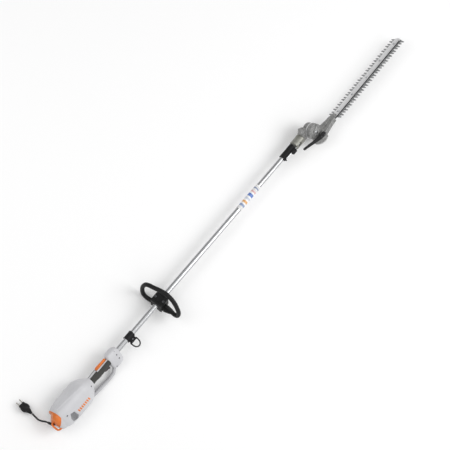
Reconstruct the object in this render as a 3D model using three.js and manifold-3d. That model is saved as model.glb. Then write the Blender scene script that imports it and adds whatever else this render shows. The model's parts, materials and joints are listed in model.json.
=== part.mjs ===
// Long-reach electric hedge trimmer, lying on a flat surface with its loop handle upright.
// Millimetres, +Z up, +X from the mains lead towards the blade tip, +Y to the left.
// Lengths along the tool are counted from the front face of the rear handle block.
import * as THREE from 'three';
import { mergeVertices } from 'three/addons/utils/BufferGeometryUtils.js';
import Module from 'manifold-3d';

const wasm = await Module();
wasm.setup();

// ---------- driving dimensions ----------
const GAP = 0.3;                 // between pieces that touch
const TURN_GAP = 0.5;            // between pieces that turn or slide on each other
const SIDE_ROLL = THREE.MathUtils.degToRad(-50); // rear handle and blade head about the tube
const ROUND = 24;                // sides of a round piece

const TUBE_R = 12.7;             // aluminium drive tube
const TUBE_WALL = 1.6;
const TUBE_END = 1316;           // front end, inside the neck tube
const TUBE_IN_BLOCK = 44;        // length held by the handle block
const DRIVE_R = 4;               // drive rod inside the tube

const MOTOR_HALF_Y = 52;         // motor housing
const MOTOR_HALF_Z = 58;
const MOTOR_WALL = 3;
const MOTOR_REAR = -403;
const MOTOR_FRONT = -184;
const FIELD_R = 40;              // motor field pack
const FIELD_BORE = 25;
const ARMATURE_R = 24;
const FAN_R = 44;

const CAP_DEPTH = 28;            // rear cap and its cable hook
const HOOK_REACH = 46;
const HOOK_BAR_R = 5;
const HOOK_HALF = 22;
const HOOK_Y = -14;              // centre of the hook, beside the lead
const HOOK_Z = 4;
const GLAND_R = 8;               // rubber gland of the mains lead
const GLAND_LENGTH = 24;

const GRIP_HALF_Y = 18;          // rear grip
const GRIP_HALF_Z = 19;
const GRIP_SKIN = 3;             // soft cover thickness
const GRIP_SPINE = 7;            // half width of the hard strip along the top
const GRIP_SPINE_Z = GRIP_HALF_Z - 3; // soft cover stops here on both sides
const GRIP_REAR = MOTOR_FRONT;
const GRIP_FRONT = -66;
const TRIGGER_REAR = -107;
const TRIGGER_FRONT = -73;
const TRIGGER_DROP = GRIP_HALF_Z + 9;         // finger face below the grip axis
const BLOCK_HALF_Y = TUBE_R + 9.3; // front handle block
const BLOCK_TOP = 34;
const BLOCK_BOTTOM = 56;
const BLOCK_LENGTH = 66;
const GUARD_Z = -71;             // knuckle guard centre line
const GUARD_HALF_Y = 9;
const GUARD_HALF_Z = 8;
const SCREW_R = 3.2;

const RING_CLAMP_X = 62;         // carrying ring clamp
const RING_CLAMP_LENGTH = 44;
const RING_CLAMP_R = TUBE_R + 3.7;
const RING_PIN_OUT = RING_CLAMP_R + 9.6; // ring pivot from the tube axis
const RING_WIRE_R = 2.6;
const RING_HALF_X = 20;
const RING_REACH = 34;

const LOOP_X = 300;              // front loop handle
const LOOP_LEAN = THREE.MathUtils.degToRad(11);
const LOOP_BAR_R = 10;
// centre line of the loop seen along the tube, each y, z
const LOOP_POINTS = [
  [99, 0], [99, 16], [95, 34], [82, 48], [60, 60], [32, 77], [3, 89], [-28, 88], [-56, 76],
  [-82, 54], [-97, 36], [-104, 18], [-102, 4], [-91, -4], [-76, -3], [-58, 2], [-40, 2],
  [-24, -8], [-8, -22], [15, -38], [40, -48], [62, -51.5], [80, -43], [92, -24],
];
const CLAMP_ROLL = THREE.MathUtils.degToRad(-15); // clamp block about the tube
const CLAMP_HALF_X = 27;
const CLAMP_BOLT_OUT = TUBE_R + 9; // clamp bolts from the tube axis
const CLAMP_HALF_Y = CLAMP_BOLT_OUT + 9.3;
const CLAMP_TOP = TUBE_R + 14.3;
const CLAMP_BOTTOM = TUBE_R + 23.3;

const LABEL_X = 880;             // wrap-round label
const LABEL_LENGTH = 150;
const LABEL_SKIN = 0.5;

const NECK_REAR = TUBE_END - 18; // neck tube
const SLEEVE_X = NECK_REAR - 87; // sliding lock sleeve
const SLEEVE_LENGTH = 84;
const SLEEVE_R = TUBE_R + 3.9;
const SLEEVE_TRAVEL = 14;        // rearwards, against its spring
const LOCK_ROD_R = 3.2;
const LOCK_ROD_Y = -TUBE_R - 8.3;

const NECK_R = TUBE_R + 10.3;
const PIVOT_X = NECK_REAR + 109; // blade head hinge
const HEAD_TILT = THREE.MathUtils.degToRad(1.2); // blade head lifted about it at rest
const LOBE_X = PIVOT_X - 21;     // its rear lobe over the bevel gears
const LOBE_R = 33;
const LOBE_FLOOR = -8;
const CASE_R = 38;               // blade side gear case
const HINGE_R = CASE_R - 2;      // shaft side gear case
const CASE_INNER_Y = -4;         // shaft side gear case, left face
const CASE_SPLIT_Y = -30;
const CASE_OUTER_Y = -58;
const QUADRANT_R = 24;
const QUADRANT_THICK = 4;
const PIVOT_BOLT_R = 6;

const BLADE_Y = -38;             // centre line of the cutter bar
const CRANK_X = PIVOT_X + 15;    // crank case
const CRANK_R = 37;
const CRANK_TOP = -18;
const CRANK_FLOOR = -67;
const CRANK_COVER = 6;
const CRANK_WALL = 5;
const MOUTH_X = CRANK_X + 113;   // front end of the crank case neck
const BAR_THICK = 3;             // guide bar on top of the blades
const BLADE_THICK = 2.4;
const BLADE_TOP = -46;           // upper face of the upper blade
const BAR_HALF = 16;
const BAR_LENGTH = 543;          // guide bar in front of the mouth
const BAR_END = MOUTH_X + BAR_LENGTH;
const BLADE_HALF = BAR_HALF + 3; // blade back, half width
const TOOTH_TIP = BLADE_HALF + 22; // tooth tips from the centre line
const TOOTH_PITCH = 33;
const TOOTH_ROOT = 16;           // tooth width at its root
const TOOTH_NOSE = 6;            // and at its tip
// on each side of each blade
const TEETH = Math.floor((BAR_LENGTH - 15) / TOOTH_PITCH);
const BLADE_STROKE = 8;          // each blade moves this far both ways
const BAR_BOLT_R = 3.5;
const BAR_BOLTS = 5;
const LEVER_LENGTH = 136;        // swing lever on the blade head
const LEVER_WIDTH = 11;

const CORD_R = 4;                // mains lead
const CORD_SIDES = 10;
const CORD_STEPS = 18;
const PLUG_R = 20;
const PLUG_LENGTH = 40;
const PIN_R = 2.4;
const PIN_LENGTH = 19;
const PIN_SPACING = 19;
// exit, lie and end of the mains lead, each x, y, z from the tube axis
const CORD_POINTS = [
  [-443.4, 24.0, -12.5], [-445.4, 30.8, -13.6], [-448.4, 37.3, -15.9], [-451.2, 43.3, -19.4],
  [-453.6, 49.0, -24.0], [-455.2, 54.6, -29.0], [-456.0, 60.4, -33.8], [-456.0, 67.2, -38.0],
  [-455.4, 75.2, -40.6], [-454.5, 84.2, -41.4], [-453.6, 93.2, -41.4], [-453.0, 102.0, -41.4],
];

// ---------- helpers ----------
function toSolid(geometry) {
  let source = geometry.index ? geometry.toNonIndexed() : geometry.clone();
  for (const name of Object.keys(source.attributes)) {
    if (name !== 'position') source.deleteAttribute(name);
  }
  source = mergeVertices(source, 1e-4);
  const place = source.attributes.position;
  const triangles = [];
  let volume = 0;
  const corner = [new THREE.Vector3(), new THREE.Vector3(), new THREE.Vector3()];
  for (let i = 0; i < source.index.count; i += 3) {
    const ids = [0, 1, 2].map((k) => source.index.getX(i + k));
    if (ids[0] === ids[1] || ids[1] === ids[2] || ids[2] === ids[0]) continue;
    ids.forEach((id, k) => corner[k].fromBufferAttribute(place, id));
    volume += corner[0].dot(corner[1].clone().cross(corner[2]));
    triangles.push(ids);
  }
  const ordered = volume < 0 ? triangles.map(([a, b, c]) => [a, c, b]) : triangles;
  return new wasm.Manifold(new wasm.Mesh({
    numProp: 3,
    vertProperties: new Float32Array(place.array),
    triVerts: new Uint32Array(ordered.flat()),
  }));
}

function toGeometry(solid) {
  const mesh = solid.getMesh();
  const geometry = new THREE.BufferGeometry();
  const place = new Float32Array(mesh.vertProperties);
  geometry.setAttribute('position', new THREE.BufferAttribute(place, 3));
  geometry.setIndex(new THREE.BufferAttribute(new Uint32Array(mesh.triVerts), 1));
  geometry.computeVertexNormals();
  return geometry;
}

const join = (first, ...more) => toGeometry(
  more.reduce((sum, next) => sum.add(toSolid(next)), toSolid(first)));
const cut = (first, ...more) => toGeometry(
  more.reduce((rest, next) => rest.subtract(toSolid(next)), toSolid(first)));
const common = (first, second) => toGeometry(toSolid(first).intersect(toSolid(second)));
const clean = (geometry) => toGeometry(toSolid(geometry));

function box(x0, x1, y0, y1, z0, z1) {
  const geometry = new THREE.BoxGeometry(x1 - x0, y1 - y0, z1 - z0);
  return geometry.translate((x0 + x1) / 2, (y0 + y1) / 2, (z0 + z1) / 2);
}

// round bars along an axis, between two places on it
function barX(r, x0, x1, y = 0, z = 0, sides = ROUND) {
  const geometry = new THREE.CylinderGeometry(r, r, x1 - x0, sides);
  return geometry.rotateZ(-Math.PI / 2).translate((x0 + x1) / 2, y, z);
}
function barY(r, y0, y1, x = 0, z = 0, sides = ROUND) {
  const geometry = new THREE.CylinderGeometry(r, r, y1 - y0, sides);
  return geometry.translate(x, (y0 + y1) / 2, z);
}
function barZ(r, z0, z1, x = 0, y = 0, sides = ROUND) {
  const geometry = new THREE.CylinderGeometry(r, r, z1 - z0, sides);
  return geometry.rotateX(Math.PI / 2).translate(x, y, (z0 + z1) / 2);
}
const ringX = (outer, inner, x0, x1, y = 0, z = 0) => cut(
  barX(outer, x0, x1, y, z), barX(inner, x0 - 1, x1 + 1, y, z));

// body along X whose section is a rounded rectangle; profile rows are [x, scale]
function roundedBody(profile, halfY, halfZ, fullness = 3, sides = 28) {
  const points = profile.map(([x, scale]) => new THREE.Vector2(scale, x));
  points.unshift(new THREE.Vector2(0, profile[0][0]));
  points.push(new THREE.Vector2(0, profile[profile.length - 1][0]));
  const geometry = new THREE.LatheGeometry(points, sides);
  const place = geometry.attributes.position;
  for (let i = 0; i < place.count; i += 1) {
    const scale = Math.hypot(place.getX(i), place.getZ(i));
    const angle = Math.atan2(place.getZ(i), place.getX(i));
    const cos = Math.cos(angle);
    const sin = Math.sin(angle);
    const reach = (Math.abs(cos) ** fullness + Math.abs(sin) ** fullness) ** (-1 / fullness);
    place.setXYZ(i, place.getY(i), scale * reach * cos * halfY, scale * reach * sin * halfZ);
  }
  return clean(geometry);
}

// distance from the middle plane to the side of such a body, at a place on it
function sideOf(profile, halfY, halfZ, x, z, fullness = 3) {
  const i = profile.findIndex((row) => row[0] >= x);
  const [x0, s0] = profile[i - 1];
  const [x1, s1] = profile[i];
  const scale = s0 + (s1 - s0) * (x - x0) / (x1 - x0);
  return halfY * (scale ** fullness - Math.abs(z / halfZ) ** fullness) ** (1 / fullness);
}

// flat plate seen from above, between two heights
function plateZ(shape, z0, z1, curveSegments = 10) {
  const options = { depth: z1 - z0, bevelEnabled: false, curveSegments };
  return new THREE.ExtrudeGeometry(shape, options).translate(0, 0, z0);
}
// flat plate seen from the side, between two places across the tool
function plateY(shape, y0, y1, curveSegments = 10) {
  const options = { depth: y1 - y0, bevelEnabled: false, curveSegments };
  return new THREE.ExtrudeGeometry(shape, options).rotateX(Math.PI / 2).translate(0, y1, 0);
}

function sweep(curve, section, steps) {
  return new THREE.ExtrudeGeometry(section, { steps, extrudePath: curve, bevelEnabled: false });
}
function roundSection(r, sides) {
  const corners = [];
  for (let i = 0; i < sides; i += 1) {
    const angle = (i / sides) * Math.PI * 2;
    corners.push(new THREE.Vector2(Math.cos(angle) * r, Math.sin(angle) * r));
  }
  return new THREE.Shape(corners);
}

// ---------- finishes ----------
const finish = (color, roughness, metalness = 0) => new THREE.MeshStandardMaterial(
  { color, roughness, metalness });
const WHITE = 0xd6d6d9;
const ORANGE = 0xe2702f;
const BLACK = 0x2b2b2c;
const SOFT = 0x3c3c3a;
const CAST = 0x8c8c8b;
const STEEL = 0xa5a6a6;
const BRIGHT = 0xc9cacc;

const machine = new THREE.Group();
const rearGroup = new THREE.Group();
const headGroup = new THREE.Group();
rearGroup.rotation.x = SIDE_ROLL;
headGroup.rotation.x = SIDE_ROLL;
machine.add(rearGroup, headGroup);
// everything that swings with the blades, tilted about the hinge
const hinge = new THREE.Group();
hinge.position.x = PIVOT_X;
hinge.rotation.y = -HEAD_TILT;
const bladeGroup = new THREE.Group();
bladeGroup.position.x = -PIVOT_X;
hinge.add(bladeGroup);
headGroup.add(hinge);

function add(parent, name, geometry, material) {
  const mesh = new THREE.Mesh(geometry, material);
  mesh.name = name;
  parent.add(mesh);
  return mesh;
}

// ---------- motor housing ----------
const MOTOR_PROFILE = [
  [MOTOR_REAR, 0.82], [MOTOR_REAR + 12, 0.92], [MOTOR_REAR + 32, 0.99], [MOTOR_REAR + 62, 1.02],
  [MOTOR_FRONT - 66, 1.0], [MOTOR_FRONT - 46, 0.9], [MOTOR_FRONT - 28, 0.72],
  [MOTOR_FRONT - 11, 0.5], [MOTOR_FRONT, 0.36],
];
const VENT_X = -352;
const VENT_Z = -16;
const VENT_HALF_X = 15;
const VENT_HALF_Z = 19;
const SLOT_FROM = -335;
const SLOT_TO = -260;
const HOUSING_SCREWS = [[MOTOR_REAR + 25, 13], [MOTOR_FRONT - 22, 6]]; // x, z

function ventOutline(x, z, halfX, halfZ) {
  const shape = new THREE.Shape();
  shape.moveTo(x - halfX * 0.45, z + halfZ);
  shape.lineTo(x + halfX * 0.55, z + halfZ * 0.8);
  shape.lineTo(x + halfX, z - halfZ * 0.35);
  shape.lineTo(x + halfX * 0.5, z - halfZ);
  shape.lineTo(x - halfX, z - halfZ * 0.6);
  shape.lineTo(x - halfX, z + halfZ * 0.2);
  return shape;
}

function makeHousing() {
  const inner = MOTOR_PROFILE.map(([x, scale]) => [x, scale - MOTOR_WALL / MOTOR_HALF_Y]);
  inner[0][0] -= 1;
  inner[inner.length - 1][0] += 1;
  const shell = cut(
    roundedBody(MOTOR_PROFILE, MOTOR_HALF_Y, MOTOR_HALF_Z),
    roundedBody(inner, MOTOR_HALF_Y, MOTOR_HALF_Z));
  const reach = MOTOR_HALF_Y * 2;
  for (const [name, side] of [['housing_left', 1], ['housing_right', -1]]) {
    const edge = GAP / 2;
    const half = side > 0
      ? box(MOTOR_REAR - 5, MOTOR_FRONT + 5, edge, reach, -reach, reach)
      : box(MOTOR_REAR - 5, MOTOR_FRONT + 5, -reach, -edge, -reach, reach);
    const vent = ventOutline(VENT_X, VENT_Z, VENT_HALF_X + GAP, VENT_HALF_Z + GAP);
    const window = side > 0 ? plateY(vent, 0, reach) : plateY(vent, -reach, 0);
    const slotY = side * MOTOR_HALF_Y * 0.55;
    const slot = box(SLOT_FROM, SLOT_TO, slotY - 2.2, slotY + 2.2, -reach, 0);
    const pieces = [window, slot];
    for (const [x, z] of HOUSING_SCREWS) {
      if (side < 0) pieces.push(barY(SCREW_R + GAP, -reach, 0, x, z, 16));
    }
    add(rearGroup, name, cut(common(shell, half), ...pieces), finish(WHITE, 0.45));
    const backing = roundedBody(
      MOTOR_PROFILE.slice(1, 5).map(([x, scale]) => [x, scale - 0.002]),
      MOTOR_HALF_Y, MOTOR_HALF_Z);
    const hollow = roundedBody(
      MOTOR_PROFILE.slice(1, 5).map(([x, scale], i) => [x + (i ? 1 : -1), scale - 0.05]),
      MOTOR_HALF_Y, MOTOR_HALF_Z);
    const grilleShape = ventOutline(VENT_X, VENT_Z, VENT_HALF_X, VENT_HALF_Z);
    const plug = side > 0 ? plateY(grilleShape, 2, reach) : plateY(grilleShape, -reach, -2);
    const slits = [];
    for (let i = -2; i <= 2; i += 1) {
      const z = VENT_Z + i * 6.4;
      const low = side > 0 ? 0 : -reach;
      slits.push(box(VENT_X - 9, VENT_X + 9, low, low + reach, z - 1.1, z + 1.1));
    }
    const grille = cut(common(cut(backing, hollow), plug), ...slits);
    const grilleName = side > 0 ? 'air_grille_left' : 'air_grille_right';
    add(rearGroup, grilleName, grille, finish(0x77777a, 0.7));
  }
}
makeHousing();

// ---------- motor ----------
const FIELD_FROM = -338;
const FIELD_TO = -268;
const ARMATURE_REAR = -386;
const BEARING_WIDTH = 9;
const FRONT_BEARING = -226;
function makeMotor() {
  const field = ringX(FIELD_R, FIELD_BORE, FIELD_FROM, FIELD_TO);
  add(rearGroup, 'motor_field', field, finish(0x6b3f2a, 0.5, 0.3));
  const armature = join(
    barX(ARMATURE_R, FIELD_FROM - 2, FIELD_TO + 2),
    barX(14, FIELD_FROM - 24, FIELD_FROM - 2),
    barX(DRIVE_R, ARMATURE_REAR, FRONT_BEARING + BEARING_WIDTH + 2));
  add(rearGroup, 'motor_armature', armature, finish(0x8a8a8c, 0.4, 0.8));
  const hub = barX(9, FIELD_TO + 8, FIELD_TO + 24);
  const blades = [];
  for (let i = 0; i < 9; i += 1) {
    const blade = box(FIELD_TO + 9, FIELD_TO + 22, 7, FAN_R * 0.78, -1, 1);
    blades.push(blade.rotateX((i / 9) * Math.PI * 2));
  }
  const fan = cut(join(hub, ...blades), barX(DRIVE_R + GAP, FIELD_TO, FIELD_TO + 40));
  add(rearGroup, 'cooling_fan', fan, finish(0x303032, 0.6));
  const rearRace = ringX(11, DRIVE_R + GAP, ARMATURE_REAR + 4, ARMATURE_REAR + 4 + BEARING_WIDTH);
  add(rearGroup, 'rear_bearing', rearRace, finish(STEEL, 0.3, 0.9));
  const frontRace = ringX(11, DRIVE_R + GAP, FRONT_BEARING, FRONT_BEARING + BEARING_WIDTH);
  add(rearGroup, 'front_bearing', frontRace, finish(STEEL, 0.3, 0.9));
}
makeMotor();

// ---------- rear cap with its cable hook, gland ----------
function makeRearCap() {
  const front = MOTOR_REAR - GAP;
  const rear = front - CAP_DEPTH;
  const dome = roundedBody([
    [rear, 0.5], [rear + 3, 0.62], [rear + 11, 0.74], [front - 8, 0.8], [front, 0.82],
  ], MOTOR_HALF_Y, MOTOR_HALF_Z);
  const bore = roundedBody([
    [rear + 9, 0.2], [front - 10, 0.4], [front + 1, 0.7],
  ], MOTOR_HALF_Y, MOTOR_HALF_Z);
  const hookX = MOTOR_REAR - HOOK_REACH + HOOK_BAR_R;
  const hookPoints = [];
  for (const side of [1, -1]) {
    const leg = [
      [rear + 10, 1], [rear - 1, 1], [hookX + 3, 0.82], [hookX, 0.4],
    ].map(([x, share]) => new THREE.Vector3(x, HOOK_Y + side * share * HOOK_HALF, HOOK_Z));
    hookPoints.push(...(side > 0 ? leg : leg.reverse()));
  }
  const hook = sweep(new THREE.CatmullRomCurve3(hookPoints), roundSection(HOOK_BAR_R, 10), 20);
  hook.rotateX(-SIDE_ROLL);
  const slope = new THREE.Shape([
    [front - 5, 36], [rear - 2, 13], [rear - 40, 13], [rear - 40, 90], [front - 5, 90],
  ].map(([x, y]) => new THREE.Vector2(x, y)));
  const lowered = plateZ(slope, -90, 90).rotateX(-SIDE_ROLL);
  add(rearGroup, 'rear_cap', cut(join(cut(dome, lowered), hook), bore), finish(ORANGE, 0.45));

  const exit = new THREE.Vector3(...CORD_POINTS[0]);
  const heading = new THREE.Vector3(...CORD_POINTS[1]).sub(exit).normalize();
  const root = exit.clone().addScaledVector(heading, -GLAND_LENGTH);
  const tip = exit.clone().addScaledVector(heading, -GAP);
  const taper = new THREE.CylinderGeometry(CORD_R + 1.4, GLAND_R - 1, tip.distanceTo(root), 20);
  taper.applyQuaternion(new THREE.Quaternion().setFromUnitVectors(
    new THREE.Vector3(0, 1, 0), tip.clone().sub(root).normalize()));
  taper.translate((tip.x + root.x) / 2, (tip.y + root.y) / 2, (tip.z + root.z) / 2);
  const collar = barX(GLAND_R, rear - GAP - GLAND_R * 0.9, rear - GAP, root.y, root.z, 20);
  const behindCap = box(exit.x - 20, rear - GAP, -40, 60, -40, 60);
  add(machine, 'cord_gland', common(join(collar, taper), behindCap), finish(BLACK, 0.7));
}
makeRearCap();

// ---------- mains lead and plug ----------
function makeLead() {
  const points = CORD_POINTS.map((place) => new THREE.Vector3(...place));
  const route = new THREE.CatmullRomCurve3(points);
  const lead = sweep(route, roundSection(CORD_R, CORD_SIDES), CORD_STEPS);
  add(machine, 'mains_lead', clean(lead), finish(BLACK, 0.6));
  const end = points[points.length - 1];
  const [x, z] = [end.x, end.z];
  const root = end.y + GAP * 3;
  const face = end.y + 24 + PLUG_LENGTH;
  const outline = [
    [0, root], [CORD_R + 1, root], [PLUG_R * 0.62, end.y + 22], [PLUG_R * 0.93, end.y + 31],
    [PLUG_R, end.y + 38], [PLUG_R * 0.96, end.y + 46], [PLUG_R * 0.8, end.y + 55],
    [PLUG_R * 0.76, face], [0, face],
  ].map(([r, y]) => new THREE.Vector2(r, y));
  const body = new THREE.LatheGeometry(outline, 24).translate(x, 0, z);
  const holes = [];
  for (const [i, side] of [-1, 1].entries()) {
    const at = x + side * PIN_SPACING / 2;
    holes.push(barY(PIN_R + GAP, face - 8, face + 1, at, z, 12));
    const pin = barY(PIN_R, face - 8 + GAP, face + PIN_LENGTH, at, z, 12);
    add(machine, `plug_pin_${i + 1}`, clean(pin), finish(BRIGHT, 0.25, 1));
  }
  add(machine, 'plug', cut(body, ...holes), finish(BLACK, 0.65));
}
makeLead();

// ---------- rear handle ----------
const BLOCK_MID_Z = (BLOCK_TOP - BLOCK_BOTTOM) / 2;
const BLOCK_HALF_Z = (BLOCK_TOP + BLOCK_BOTTOM) / 2;
const BLOCK_PROFILE = [
  [-BLOCK_LENGTH, 0.55], [-BLOCK_LENGTH + 5, 0.8], [-BLOCK_LENGTH + 18, 0.97], [-30, 1],
  [-9, 0.88], [0, 0.7],
];
// x, z and how near the middle plane each block screw reaches, clear of the tube
const BLOCK_SCREWS = [[-21, 25, 5], [-21, 3, TUBE_R + 2], [-20, -20, 5], [-50, -44, 5]];
const TRIGGER_TOP = -13.5;
const TRIGGER_HALF_Y = 11.5;
const LOCKOUT_REAR = -135;
const LOCKOUT_FRONT = -70;
const LOCKOUT_HALF_Y = 6.4;
const LOCKOUT_SEAT = 11.8;       // floor of the room under the lever

function makeHandle() {
  const skin = roundedBody([[GRIP_REAR + GAP, 1], [GRIP_FRONT + 8, 1]],
    GRIP_HALF_Y, GRIP_HALF_Z, 2.6);
  const coreY = GRIP_HALF_Y - GRIP_SKIN - GAP;
  const coreZ = GRIP_HALF_Z - GRIP_SKIN - GAP;
  const core = roundedBody([[GRIP_REAR + GAP, 1], [GRIP_FRONT + 8, 1]], coreY, coreZ, 2.6);
  const spineBox = box(GRIP_REAR, GRIP_FRONT + 8, -GRIP_SPINE, GRIP_SPINE, 0, BLOCK_TOP);
  const spine = common(skin, spineBox);
  const block = roundedBody(BLOCK_PROFILE, BLOCK_HALF_Y, BLOCK_HALF_Z).translate(0, 0, BLOCK_MID_Z);
  const rearOfBlock = -BLOCK_LENGTH + 3;
  const triggerRoom = box(TRIGGER_REAR - TURN_GAP, rearOfBlock, -TRIGGER_HALF_Y - TURN_GAP,
    TRIGGER_HALF_Y + TURN_GAP, -GRIP_HALF_Z * 2, TRIGGER_TOP + 6.5);
  const lockoutRoom = box(LOCKOUT_REAR - 2, LOCKOUT_FRONT + 5, -GRIP_SPINE * 2,
    GRIP_SPINE * 2, LOCKOUT_SEAT, BLOCK_TOP * 2);
  const hollow = [
    barX(TUBE_R + GAP, -TUBE_IN_BLOCK - GAP, 5), barX(DRIVE_R + 3, GRIP_REAR - 5, 5, 0, 0, 16),
    triggerRoom, lockoutRoom, box(-56, -28, -12, 12, -37, -19),
  ];
  const whole = cut(join(core, spine, block), ...hollow);
  for (const [name, side] of [['handle_left', 1], ['handle_right', -1]]) {
    const half = side > 0
      ? box(GRIP_REAR - 5, 5, GAP / 2, BLOCK_HALF_Y * 2, -90, 60)
      : box(GRIP_REAR - 5, 5, -BLOCK_HALF_Y * 2, -GAP / 2, -90, 60);
    const bores = side < 0 ? BLOCK_SCREWS.map(([x, z, floor]) => barY(
      SCREW_R + GAP, -BLOCK_HALF_Y * 2, -floor, x, z, 16)) : [];
    add(rearGroup, name, cut(common(whole, half), ...bores), finish(WHITE, 0.45));
  }
  const cover = cut(skin,
    roundedBody([[GRIP_REAR - 5, 1], [GRIP_FRONT + 10, 1]], coreY + GAP, coreZ + GAP, 2.6),
    box(GRIP_REAR - 5, 0, -GRIP_SPINE - GAP, GRIP_SPINE + GAP, 0, BLOCK_TOP),
    box(GRIP_REAR - 5, 0, -BLOCK_HALF_Y, BLOCK_HALF_Y, GRIP_SPINE_Z, BLOCK_TOP),
    box(TRIGGER_REAR - TURN_GAP, 0, -BLOCK_HALF_Y, BLOCK_HALF_Y, -BLOCK_TOP, TRIGGER_TOP + 6.5),
    roundedBody(BLOCK_PROFILE.map(([x, scale]) => [x - GAP * 2, scale + 0.02]),
      BLOCK_HALF_Y, BLOCK_HALF_Z).translate(0, 0, BLOCK_MID_Z));
  add(rearGroup, 'soft_grip', cover, finish(SOFT, 0.85));

  const face = new THREE.Shape();
  face.moveTo(TRIGGER_REAR, TRIGGER_TOP);
  face.lineTo(TRIGGER_REAR, -GRIP_HALF_Z - 1);
  face.quadraticCurveTo(TRIGGER_REAR + 16, -GRIP_HALF_Z - 4, TRIGGER_FRONT - 13, -TRIGGER_DROP);
  face.quadraticCurveTo(TRIGGER_FRONT - 6, -TRIGGER_DROP - 2, TRIGGER_FRONT - 3, 6 - TRIGGER_DROP);
  face.lineTo(TRIGGER_FRONT - 3, TRIGGER_TOP);
  const trigger = plateY(face, -TRIGGER_HALF_Y, TRIGGER_HALF_Y, 6);
  add(rearGroup, 'trigger', clean(trigger), finish(0x463a3c, 0.55));

  const pad = new THREE.Shape();
  pad.absellipse(LOCKOUT_REAR + 8, 0, 8, LOCKOUT_HALF_Y, Math.PI / 2, Math.PI * 1.5, false, 0);
  pad.lineTo(LOCKOUT_FRONT, -LOCKOUT_HALF_Y * 0.62);
  pad.lineTo(LOCKOUT_FRONT, LOCKOUT_HALF_Y * 0.62);
  const lockout = plateZ(pad, LOCKOUT_SEAT + 5, GRIP_HALF_Z + 7, 8);
  add(rearGroup, 'lockout_lever', clean(lockout), finish(ORANGE, 0.4));
  add(rearGroup, 'switch_unit', box(-55, -29, -11, 11, -36, -20), finish(0x3a3a3d, 0.5));

  const outline = new THREE.CatmullRomCurve3([
    [-BLOCK_LENGTH + 14, -42], [-BLOCK_LENGTH + 3, -56], [-BLOCK_LENGTH - 10, -67],
    [-BLOCK_LENGTH - 34, GUARD_Z], [(GRIP_REAR + GRIP_FRONT) / 2, GUARD_Z],
    [GRIP_REAR - 20, GUARD_Z + 6], [GRIP_REAR - 44, GUARD_Z + 16], [GRIP_REAR - 56, GUARD_Z + 26],
  ].map(([x, z]) => new THREE.Vector3(x, 0, z)));
  const bar = sweep(outline, roundSection(GUARD_HALF_Z, 12), 20);
  bar.scale(1, GUARD_HALF_Y / GUARD_HALF_Z, 1);
  const housing = roundedBody(
    MOTOR_PROFILE.map(([x, scale]) => [x + GAP * 2, scale + 0.012]), MOTOR_HALF_Y, MOTOR_HALF_Z);
  const front = roundedBody(BLOCK_PROFILE.map(([x, scale]) => [x - GAP * 2, scale + 0.02]),
    BLOCK_HALF_Y, BLOCK_HALF_Z).translate(0, 0, BLOCK_MID_Z);
  add(rearGroup, 'guard_bar', cut(bar, housing, front), finish(0xc2c2c5, 0.5));
}
makeHandle();

function makeScrews() {
  let count = 0;
  const screw = (x, z, side, length) => {
    count += 1;
    const body = barY(SCREW_R, -side, -side + length, x, z, 12);
    const socket = barY(SCREW_R * 0.5, -side - 1, -side + 2, x, z, 6);
    add(rearGroup, `screw_${count}`, cut(body, socket), finish(0x55565a, 0.35, 0.8));
  };
  for (const [x, z] of HOUSING_SCREWS) {
    screw(x, z, sideOf(MOTOR_PROFILE, MOTOR_HALF_Y, MOTOR_HALF_Z, x, z) - 1.2, MOTOR_WALL + 3);
  }
  for (const [x, z, floor] of BLOCK_SCREWS) {
    const side = sideOf(BLOCK_PROFILE, BLOCK_HALF_Y, BLOCK_HALF_Z, x, z - BLOCK_MID_Z) - 1.2;
    screw(x, z, side, side - floor - GAP);
  }
}
makeScrews();

// ---------- drive tube and its inside ----------
const ROD_REAR = FRONT_BEARING + BEARING_WIDTH + 2 + GAP;
const ROD_FRONT = LOBE_X - LOBE_R - 4;
function makeTube() {
  const tube = ringX(TUBE_R, TUBE_R - TUBE_WALL, -TUBE_IN_BLOCK, TUBE_END);
  add(machine, 'drive_tube', tube, finish(BRIGHT, 0.22, 1));
  add(machine, 'drive_rod', clean(barX(DRIVE_R, ROD_REAR, ROD_FRONT, 0, 0, 16)),
    finish(STEEL, 0.3, 1));
  const bushes = 3;
  for (let i = 1; i <= bushes; i += 1) {
    const at = (i / (bushes + 1)) * TUBE_END;
    const bush = ringX(TUBE_R - TUBE_WALL - GAP, DRIVE_R + GAP, at - 10, at + 10);
    add(machine, `rod_bush_${i}`, bush, finish(0x6f6f66, 0.8));
  }
  const skin = ringX(TUBE_R + GAP + LABEL_SKIN, TUBE_R + GAP, LABEL_X, LABEL_X + LABEL_LENGTH);
  add(machine, 'tube_label', skin, finish(0xf2f2f0, 0.5));
}
makeTube();

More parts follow.
